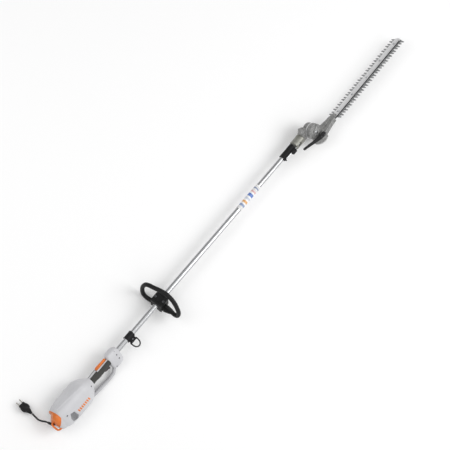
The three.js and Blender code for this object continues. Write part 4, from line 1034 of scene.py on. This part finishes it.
def make_gear_cases():
    shaft = Solid(hinge_disc(36, -29.75, -4, 2.2))
    lobe = Solid(hinge_disc(33, -29.75, -4, 2.2, x=LOBE_X)).keep(block(1340, 1407, -60, 60, -8, 60))
    shaft.join(lobe)
    shaft.join(bar(20, -29.4, -3, "Y", (1370, 0, 24), 72, 2.0),
               bar(15.5, -31.5, -28, "Y", (1370, 0, 24), 72, 1.0),
               Solid(block(1352, 1404, -27, -6, 10, 33)).bevel(3.0, 3))
    for angle in (20, 100, 170, 240, 300):
        a = math.radians(angle)
        spot = (1370 + 17.5 * math.cos(a), 0, 24 + 17.5 * math.sin(a))
        shaft.join(bar(4.6, -31.0, -1.6, "Y", spot, 28, 0.8))
        shaft.cut(bar(2.2, -33, -29.6, "Y", spot, 6, 0.1))
    shaft.cut(bar(8, -33, -30.2, "Y", (1370, 0, 24), 40, 0.4))
    for x in (1378, 1386, 1394):
        shaft.cut(Solid(block(x - 1.6, x + 1.6, -24, -9, 30, 50)).bevel(0.6, 2))
    shaft.cut(hinge_disc(38.4, -45, -29.75), hinge_disc(6.3, -60, -10, sides=40),
              hinge_disc(24, -6.2, 0, 0.6))
    put(shaft, "shaft_case", "pole", "cast_alloy", ROLLED, ["shaft_gear_case"], 32)

    outer = Solid(hinge_disc(38, -58, -30.25, 1.6))
    outer.cut(hinge_disc(35.6, -61, -56.6, 0.4))
    outer.join(hinge_disc(31, -58, -50, 1.4))
    for k in range(6):
        a = math.radians(30 + 60 * k)
        x, z = HINGE_X + 33.6 * math.cos(a), 33.6 * math.sin(a)
        outer.join(bar(3.0, -58, -52, "Y", (x, 0, z), 28, 0.6))
    for k in range(12):
        a = math.radians(30 * k + 15)
        x, z = HINGE_X + 37.6 * math.cos(a), 37.6 * math.sin(a)
        outer.cut(bar(1.5, -52, -36, "Y", (x, 0, z), 16, 0.8))
    groove = Solid(hinge_disc(42, -39.2, -37.2)).cut(hinge_disc(36.4, -60, -20))
    outer.cut(groove)
    outer.cut(hinge_disc(6.5, -70, 0, sides=40))
    put(outer, "blade_case", "head", "cast_alloy", BLADES, ["blade_gear_case"], 32)
    joint = Solid(hinge_disc(38.25, -34.6, -30.3, 0.4)).cut(hinge_disc(30, -60, 0))
    put(joint, "case_rim", "head", "bar_steel", BLADES)

    heel, plate_r = 14.9, 30
    sector = [(-13, 0)]
    for radius, start, end, steps in ((heel, math.pi * 1.03, math.pi * 1.5, 10), (plate_r, -0.9, 0.75, 22),
                                      (heel, math.pi / 2, math.pi * 0.97, 10)):
        sector += [(radius * math.cos(a), radius * math.sin(a)) for a in np.linspace(start, end, steps)]
    plate = Solid(slab([(HINGE_X + u, -v) for u, v in sector], -62.3, -58.3, "Y")).bevel(0.6, 2)
    for i in range(5):
        a = 0.7 - i * 0.33
        plate.cut(bar(2.2, -66, -55, "Y", (HINGE_X + 24 * math.cos(a), 0, 24 * math.sin(a)), 24, 0.05))
    plate.cut(hinge_disc(6.5, -70, -50, sides=40))
    put(plate, "lock_quadrant", "head", "cast_alloy", BLADES, ["quadrant"])

    bolt = Solid(hinge_disc(6, -64, -10.5, 0.6, 40))
    bolt.join(hinge_disc(9.6, -64.2, -62.9, 0.4, 48), bar(8.4, -66.3, -64, "Y", (HINGE_X, 0, 0), 6, 0.8))
    put(bolt, "pivot_bolt", "pole", "dark_steel", ROLLED, ["hinge_bolt"], finish="rod_steel")


# ---------- crank case ----------
CRANK_X = 1422
BLADE_Y = -38
MOUTH_X = 1535
CRANK_CENTRE = (CRANK_X, BLADE_Y, 0)


def make_crank_case():
    rows = [(-67, 37), (-62.5, 37), (-61.5, 35.6), (-26, 35.6), (-21, 33.6), (-18.6, 30), (-18, 26)]
    case = Solid(turned(rows, "Z", CRANK_CENTRE, 96))
    side = [(CRANK_X, 35), (CRANK_X + 40, 30), (MOUTH_X - 30, 21.5), (MOUTH_X, 19.5)]
    outline = [(x, BLADE_Y + half) for x, half in side] + [(x, BLADE_Y - half) for x, half in reversed(side)]
    case.join(Solid(slab(outline, -57.1, -34.7)).bevel(2.6, 3))
    case.join(Solid(slab([(x, y) for x, y in [(CRANK_X + 10, BLADE_Y + 4), (MOUTH_X - 14, BLADE_Y + 3),
                                              (MOUTH_X - 14, BLADE_Y - 3), (CRANK_X + 10, BLADE_Y - 4)]],
                         -36, -31.5)).bevel(1.5, 2))
    nose = [(MOUTH_X - 34, BLADE_Y + 19), (MOUTH_X - 2, BLADE_Y + 16), (MOUTH_X + 24, BLADE_Y + 9),
            (MOUTH_X + 24, BLADE_Y - 9), (MOUTH_X - 2, BLADE_Y - 16), (MOUTH_X - 34, BLADE_Y - 19)]
    case.join(Solid(slab(nose, -42.3, -34.9)).bevel(2.0, 3))
    for angle in (-55, -20, 20, 55):
        a = math.radians(angle)
        spot = (CRANK_X + 36.5 * math.cos(a), BLADE_Y + 36.5 * math.sin(a), 0)
        case.join(bar(4.4, -66, -44, "Z", spot, 28, 1.2))
    case.cut(bar(32, -68, -51.1, "Z", CRANK_CENTRE, 96, 0.05),
             block(CRANK_X - 30, MOUTH_X + 1, BLADE_Y - 17, BLADE_Y + 17, -51.7, -42.4),
             hinge_disc(38.3, -58.3, -30), hinge_disc(38.5, -30.25, 60), hinge_disc(32, -90, -58))
    put(case, "crank_body", "head", "cast_alloy", BLADES, ["crank_case"], 32)
    rim = Solid(bar(38.2, -69.6, -66.9, "Z", CRANK_CENTRE, 96, 0.6))
    rim.cut(bar(30, -75, -60, "Z", CRANK_CENTRE, 96, 0.05), hinge_disc(38.3, -58.3, 60))
    put(rim, "crank_flange", "head", "bar_steel", BLADES)
    cover = Solid(turned([(-73, 30), (-72.4, 35.4), (-70.5, 37.2), (-69.7, 37.4)], "Z", CRANK_CENTRE, 96))
    for k in range(6):
        a = math.radians(60 * k)
        spot = (CRANK_X + 31 * math.cos(a), BLADE_Y + 31 * math.sin(a), 0)
        cover.cut(bar(3.4, -75, -71.2, "Z", spot, 28, 0.2))
    put(cover, "crank_lid", "head", "cast_alloy", BLADES, ["crank_cover"])
    for k in range(6):
        a = math.radians(60 * k)
        spot = (CRANK_X + 31 * math.cos(a), BLADE_Y + 31 * math.sin(a), 0)
        screw = Solid(bar(3.0, -73, -71, "Z", spot, 28, 0.5)).cut(bar(1.5, -74, -72, "Z", spot, 6, 0.1))
        put(screw, f"lid_screw_{k + 1}", "head", "dark_steel", BLADES)


def make_lever():
    root_x, root_z, length = CRANK_X + 6, -28, 136
    tip_x, tip_z = root_x - length, root_z + length * 0.23
    outline = [(root_x, root_z - 12), (root_x - 20, root_z - 8.6), (root_x - 36, root_z - 5),
               (tip_x + 8, tip_z - 5.9)]
    for i in range(9):
        a = -math.pi / 2 - math.pi * i / 8
        outline.append((tip_x + 4 + 5.4 * math.cos(a), tip_z + 5.4 * math.sin(a)))
    outline += [(root_x - 30, root_z + 12), (root_x + 4, root_z + 12), (root_x + 10, root_z)]
    lever = Solid(slab(outline, -84.5, -75.5, "Y")).bevel(1.9, 3, 30)
    lever.cut(Solid(slab([(root_x - 44, root_z + 2), (tip_x + 12, tip_z - 3), (tip_x + 12, tip_z + 2.6),
                          (root_x - 42, root_z + 8)], -90, -83.2, "Y")).bevel(0.6, 2))
    put(lever, "lever", "head", "black_metal", BLADES, ["swing_lever"])
    for x, z in ((root_x - 4, root_z - 3), (root_x - 22, root_z + 3)):
        put(Solid(bar(3.6, -86.6, -84.2, "Y", (x, 0, z), 6, 0.5)), f"lever_bolt_{int(x)}", "head",
            "dark_steel", BLADES)


# ---------- cutter bar ----------
TEETH = 16
TOOTH_PITCH = 33.0
TOOTH_ROOT = 16
TOOTH_NOSE = 6
TOOTH_TIP = 41
BLADE_HALF = 19
STROKE = 8
BAR_END = 2078
FIRST_TOOTH = MOUTH_X + 20
BOLT_FIRST = MOUTH_X + 45
BOLT_STEP = (BAR_END - 40 - BOLT_FIRST) / 4
BOLT_SPOTS = [BOLT_FIRST + BOLT_STEP * i for i in range(5)]


def blade_outline(shift):
    rim = [(CRANK_X - 8, 12), (MOUTH_X - 30, 14), (MOUTH_X + STROKE + 2, 14)]
    for i in range(TEETH):
        x = FIRST_TOOTH + shift + TOOTH_PITCH * i
        rim += [(x - TOOTH_ROOT / 2, BLADE_HALF if i else 17.8), (x - TOOTH_ROOT / 2 + 1.2, BLADE_HALF + 3.5),
                (x - TOOTH_NOSE / 2, TOOTH_TIP - 0.8), (x - TOOTH_NOSE / 2 + 0.9, TOOTH_TIP),
                (x + TOOTH_NOSE / 2 - 0.9, TOOTH_TIP), (x + TOOTH_NOSE / 2, TOOTH_TIP - 0.8),
                (x + TOOTH_ROOT / 2 - 1.2, BLADE_HALF + 3.5), (x + TOOTH_ROOT / 2, BLADE_HALF)]
    rim.append((FIRST_TOOTH + shift + TOOTH_PITCH * (TEETH - 1) + TOOTH_ROOT / 2 + 2, BLADE_HALF - 4))
    return [(x, BLADE_Y + half) for x, half in rim] + [(x, BLADE_Y - half) for x, half in reversed(rim)]


def make_blades(sizes):
    for name, body, shift, top in (("upper", "blade_upper", 0, -46.0), ("lower", "blade_lower", 16.5, -48.7)):
        blade = Solid(slab(blade_outline(shift), top - 2.4, top)).bevel(sizes.grind, 1, 40)
        for x in BOLT_SPOTS:
            blade.cut(block(x - 12, x + 12, BLADE_Y - 4, BLADE_Y + 4, -60, -40))
        put(blade, f"blade_{name}", body, "blade_steel", BLADES, [f"{name}_blade"], 20)


def make_guide_bar():
    rear, half, nose = MOUTH_X - 40, 16, 12
    outline = [(rear, BLADE_Y - half), (BAR_END - nose, BLADE_Y - half)]
    for i in range(1, 12):
        a = -math.pi / 2 + math.pi * i / 12
        outline.append((BAR_END - nose + nose * math.cos(a), BLADE_Y + half * math.sin(a)))
    outline += [(BAR_END - nose, BLADE_Y + half), (rear, BLADE_Y + half)]
    strip = Solid(slab(outline, -45.7, -42.7)).bevel(0.7, 2)
    for x in BOLT_SPOTS:
        strip.cut(bar(3.8, -60, -30, "Z", (x, BLADE_Y, 0), 40, 0.05))
    put(strip, "guide_strip", "head", "bar_steel", BLADES, ["guide_bar"])
    # painted shadow: a black strip along one edge of the guide bar stands in for the shaded side face and gap
    # there
    shadow_strip = Solid(block(MOUTH_X + 2, BAR_END - 14, BLADE_Y - half - 0.9, BLADE_Y - half + 1.6, -45.6, -42.2))
    put(shadow_strip.bevel(0.4, 1), "guide_shadow_strip", "head", "bar_steel", BLADES, finish="painted_shadow_line")
    for i, x in enumerate(BOLT_SPOTS):
        spot = (x, BLADE_Y, 0)
        bolt = Solid(bar(3.5, -53, -42, "Z", spot, 40, 0.2))
        bolt.join(bar(6.5, -42.4, -41.2, "Z", spot, 40, 0.3), bar(5.4, -41.3, -38.7, "Z", spot, 6, 0.5),
                  bar(7.5, -54.1, -51.4, "Z", spot, 40, 0.5))
        put(bolt, f"strip_bolt_{i + 1}", "head", "rod_steel", BLADES, [f"bar_bolt_{i + 1}"])


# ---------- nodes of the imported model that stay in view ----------
def dress_frame():
    """Gives every node that no piece stands for the finish of its slot."""
    slots = {row["node"]: row["material_slot"] for row in frame["record"]["subparts"]}
    for name, thing in frame["nodes"].items():
        if thing.type == "MESH" and name in slots:
            thing.data.materials.clear()
            thing.data.materials.append(FINISHES[slots[name]])


# ---------- stage ----------
VIEW_FROM = Vector((-0.342, 0.0, 0.94))
VIEW_UP = Vector((0.713, 0.652, 0.259))
VIEW_DISTANCE = 8.311
VIEW_AT = Vector((0.779, 0.0, 0.0))


def make_camera():
    data = bpy.data.cameras.new("camera")
    data.lens = 145.5
    data.sensor_width = 36.0
    data.clip_end = 60.0
    camera = bpy.data.objects.new("camera", data)
    bpy.context.scene.collection.objects.link(camera)
    back = VIEW_FROM.normalized()
    up = (VIEW_UP - back * VIEW_UP.dot(back)).normalized()
    right = up.cross(back)
    turn = Matrix((right, up, back)).transposed().to_4x4()
    camera.matrix_world = Matrix.Translation(ORIGIN + VIEW_AT + back * VIEW_DISTANCE) @ turn
    bpy.context.scene.camera = camera


def area_light(name, spot, aim, size, power, colour=(1, 1, 1)):
    data = bpy.data.lights.new(name, "AREA")
    data.shape = "SQUARE"
    data.size = size
    data.energy = power
    data.color = colour
    lamp = bpy.data.objects.new(name, data)
    bpy.context.scene.collection.objects.link(lamp)
    direction = Vector(aim) - Vector(spot)
    lamp.matrix_world = Matrix.Translation(spot) @ direction.to_track_quat("-Z", "Y").to_matrix().to_4x4()


def make_stage():
    mesh = bpy.data.meshes.new("floor")
    reach = 30.0
    mesh.from_pydata([(-reach, -reach, 0), (reach, -reach, 0), (reach, reach, 0), (-reach, reach, 0)],
                     [], [(0, 1, 2, 3)])
    floor = bpy.data.objects.new("floor", mesh)
    bpy.context.scene.collection.objects.link(floor)
    board = Board("pale_floor")
    mesh.materials.append(board.finish((0.95, 0.95, 0.95), 0.9, level=0.1))
    area_light("key", (1.8, -2.6, 3.8), (0.2, 0, 0), 2.8, 86)
    area_light("fill", (-2.6, 2.6, 3.6), (-0.2, 0, 0), 3.0, 50)
    scene = bpy.context.scene
    scene.view_settings.view_transform = "Standard"
    scene.view_settings.look = "None"
    world = bpy.data.worlds.new("studio")
    world.use_nodes = True
    scene.world = world
    tree = world.node_tree
    sky = tree.nodes["Background"]
    spot = tree.nodes.new("ShaderNodeTexCoord")
    split = tree.nodes.new("ShaderNodeSeparateXYZ")
    ramp = tree.nodes.new("ShaderNodeValToRGB")
    stops = [(0.0, 0.30), (0.25, 0.42), (0.55, 0.75), (1.0, 1.0)]
    while len(ramp.color_ramp.elements) < len(stops):
        ramp.color_ramp.elements.new(1.0)
    for element, (at, grey) in zip(ramp.color_ramp.elements, stops):
        element.position = at
        element.color = (grey, grey, grey, 1)
    tree.links.new(spot.outputs["Generated"], split.inputs[0])
    tree.links.new(split.outputs[2], ramp.inputs[0])
    # the sky is darker on the left, which draws a grey band along the bright tube
    side = tree.nodes.new("ShaderNodeMapRange")
    for socket, value in zip(side.inputs[1:5], (-0.5, 0.8, 1.16, 0.5)):
        socket.default_value = value
    shade = tree.nodes.new("ShaderNodeMath")
    shade.operation = "MULTIPLY"
    tree.links.new(split.outputs[1], side.inputs[0])
    tree.links.new(ramp.outputs[0], shade.inputs[0])
    tree.links.new(side.outputs[0], shade.inputs[1])
    tree.links.new(shade.outputs[0], sky.inputs[0])
    sky.inputs[1].default_value = 1.0


# ---------- operators ----------
class MakeCamera(bpy.types.Operator):
    """Camera above and behind the tool"""

    bl_idname = "trimmer.camera"
    bl_label = "Camera"

    def execute(self, context):
        make_camera()
        return {"FINISHED"}


class MakeFinishes(bpy.types.Operator):
    """Makes every material"""

    bl_idname = "trimmer.finishes"
    bl_label = "Finishes"

    def execute(self, context):
        make_finishes(context.scene.trimmer_colours)
        return {"FINISHED"}


class MakeLead(bpy.types.Operator):
    """The mains lead, a cord drawn as a bevelled curve"""

    bl_idname = "trimmer.lead"
    bl_label = "Mains Lead"

    def execute(self, context):
        make_lead()
        return {"FINISHED"}


class MakeHousing(bpy.types.Operator):
    """Motor housing halves with their grilles and side bars"""

    bl_idname = "trimmer.housing"
    bl_label = "Motor Housing"

    def execute(self, context):
        make_housing(context.scene.trimmer_sizes)
        return {"FINISHED"}


class MakeRearCap(bpy.types.Operator):
    """Rear cap, its grey skirt and the cable hook"""

    bl_idname = "trimmer.rear_cap"
    bl_label = "Rear Cap"

    def execute(self, context):
        make_rear_cap(context.scene.trimmer_sizes)
        return {"FINISHED"}


class MakeGland(bpy.types.Operator):
    """Ribbed rubber gland of the mains lead"""

    bl_idname = "trimmer.gland"
    bl_label = "Lead Gland"

    def execute(self, context):
        make_gland()
        return {"FINISHED"}


class MakePlug(bpy.types.Operator):
    """Mains plug and its pins"""

    bl_idname = "trimmer.plug"
    bl_label = "Plug"

    def execute(self, context):
        make_plug()
        return {"FINISHED"}


class MakeGrip(bpy.types.Operator):
    """Rear grip with its soft cover"""

    bl_idname = "trimmer.grip"
    bl_label = "Rear Grip"

    def execute(self, context):
        make_grip()
        return {"FINISHED"}


class MakeHandleBlock(bpy.types.Operator):
    """Front handle block halves"""

    bl_idname = "trimmer.handle_block"
    bl_label = "Handle Block"

    def execute(self, context):
        make_handle_block()
        return {"FINISHED"}


class MakeGuard(bpy.types.Operator):
    """Guard in front of the fingers"""

    bl_idname = "trimmer.guard"
    bl_label = "Knuckle Guard"

    def execute(self, context):
        make_guard()
        return {"FINISHED"}


class MakeTrigger(bpy.types.Operator):
    """Trigger"""

    bl_idname = "trimmer.trigger"
    bl_label = "Trigger"

    def execute(self, context):
        make_trigger()
        return {"FINISHED"}


class MakeLockout(bpy.types.Operator):
    """Orange lockout lever on the grip"""

    bl_idname = "trimmer.lockout"
    bl_label = "Lockout Lever"

    def execute(self, context):
        make_lockout()
        return {"FINISHED"}


class MakeTube(bpy.types.Operator):
    """Drive tube and its label"""

    bl_idname = "trimmer.tube"
    bl_label = "Tube"

    def execute(self, context):
        make_tube()
        return {"FINISHED"}


class MakeCarryRing(bpy.types.Operator):
    """Ring clamp and the swinging ring"""

    bl_idname = "trimmer.carry_ring"
    bl_label = "Carrying Ring"

    def execute(self, context):
        make_carry_ring()
        return {"FINISHED"}


class MakeLoop(bpy.types.Operator):
    """Front loop handle, its clamp and bolts"""

    bl_idname = "trimmer.loop"
    bl_label = "Loop Handle"

    def execute(self, context):
        make_loop(context.scene.trimmer_sizes)
        return {"FINISHED"}


class MakeSleeve(bpy.types.Operator):
    """Sliding sleeve and its lock rod"""

    bl_idname = "trimmer.sleeve"
    bl_label = "Lock Sleeve"

    def execute(self, context):
        make_sleeve(context.scene.trimmer_sizes)
        return {"FINISHED"}


class MakeNeck(bpy.types.Operator):
    """Neck tube"""

    bl_idname = "trimmer.neck"
    bl_label = "Neck"

    def execute(self, context):
        make_neck()
        return {"FINISHED"}


class MakeGearCases(bpy.types.Operator):
    """Both gear cases, the notched plate and the pivot bolt"""

    bl_idname = "trimmer.gear_cases"
    bl_label = "Gear Cases"

    def execute(self, context):
        make_gear_cases()
        return {"FINISHED"}


class MakeCrankCase(bpy.types.Operator):
    """Crank case with its rim, cover and screws"""

    bl_idname = "trimmer.crank_case"
    bl_label = "Crank Case"

    def execute(self, context):
        make_crank_case()
        return {"FINISHED"}


class MakeLever(bpy.types.Operator):
    """Lever on the blade head"""

    bl_idname = "trimmer.lever"
    bl_label = "Swing Lever"

    def execute(self, context):
        make_lever()
        return {"FINISHED"}


class MakeBlades(bpy.types.Operator):
    """Upper and lower cutter blades"""

    bl_idname = "trimmer.blades"
    bl_label = "Blades"

    def execute(self, context):
        make_blades(context.scene.trimmer_sizes)
        return {"FINISHED"}


class MakeGuideBar(bpy.types.Operator):
    """Strip over the blades and its bolts"""

    bl_idname = "trimmer.guide_bar"
    bl_label = "Guide Bar"

    def execute(self, context):
        make_guide_bar()
        return {"FINISHED"}


class MakeFrameFinish(bpy.types.Operator):
    """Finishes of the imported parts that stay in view"""

    bl_idname = "trimmer.frame_finish"
    bl_label = "Inner Parts"

    def execute(self, context):
        dress_frame()
        return {"FINISHED"}


class MakeStage(bpy.types.Operator):
    """Pale floor, soft lights and sky"""

    bl_idname = "trimmer.stage"
    bl_label = "Stage"

    def execute(self, context):
        make_stage()
        return {"FINISHED"}


class TrimmerPanel(bpy.types.Panel):
    """Settings and steps of the hedge trimmer"""

    bl_idname = "VIEW3D_PT_trimmer"
    bl_label = "Hedge Trimmer"
    bl_space_type = "VIEW_3D"
    bl_region_type = "UI"
    bl_category = "Trimmer"

    def draw(self, context):
        layout = self.layout
        for settings in (context.scene.trimmer_sizes, context.scene.trimmer_colours):
            box = layout.box()
            for name in settings.__annotations__:
                box.prop(settings, name)
        for step in STEPS:
            layout.operator(step.bl_idname)


STEPS = (
    MakeCamera, MakeFinishes, MakeLead, MakeHousing, MakeRearCap, MakeGland, MakePlug, MakeGrip,
    MakeHandleBlock, MakeGuard, MakeTrigger, MakeLockout, MakeTube, MakeCarryRing, MakeLoop, MakeSleeve,
    MakeNeck, MakeGearCases, MakeCrankCase, MakeLever, MakeBlades, MakeGuideBar, MakeFrameFinish,
    MakeStage,
)
CLASSES = (TrimmerSizes, TrimmerColours, *STEPS, TrimmerPanel)


def register():
    for kind in CLASSES:
        bpy.utils.register_class(kind)
    bpy.types.Scene.trimmer_sizes = PointerProperty(type=TrimmerSizes)
    bpy.types.Scene.trimmer_colours = PointerProperty(type=TrimmerColours)


def unregister():
    del bpy.types.Scene.trimmer_colours
    del bpy.types.Scene.trimmer_sizes
    for kind in reversed(CLASSES):
        bpy.utils.unregister_class(kind)


def main():
    register()
    for step in STEPS:
        area, name = step.bl_idname.split(".")
        getattr(getattr(bpy.ops, area), name)()


if __name__ == "__main__":
    main()
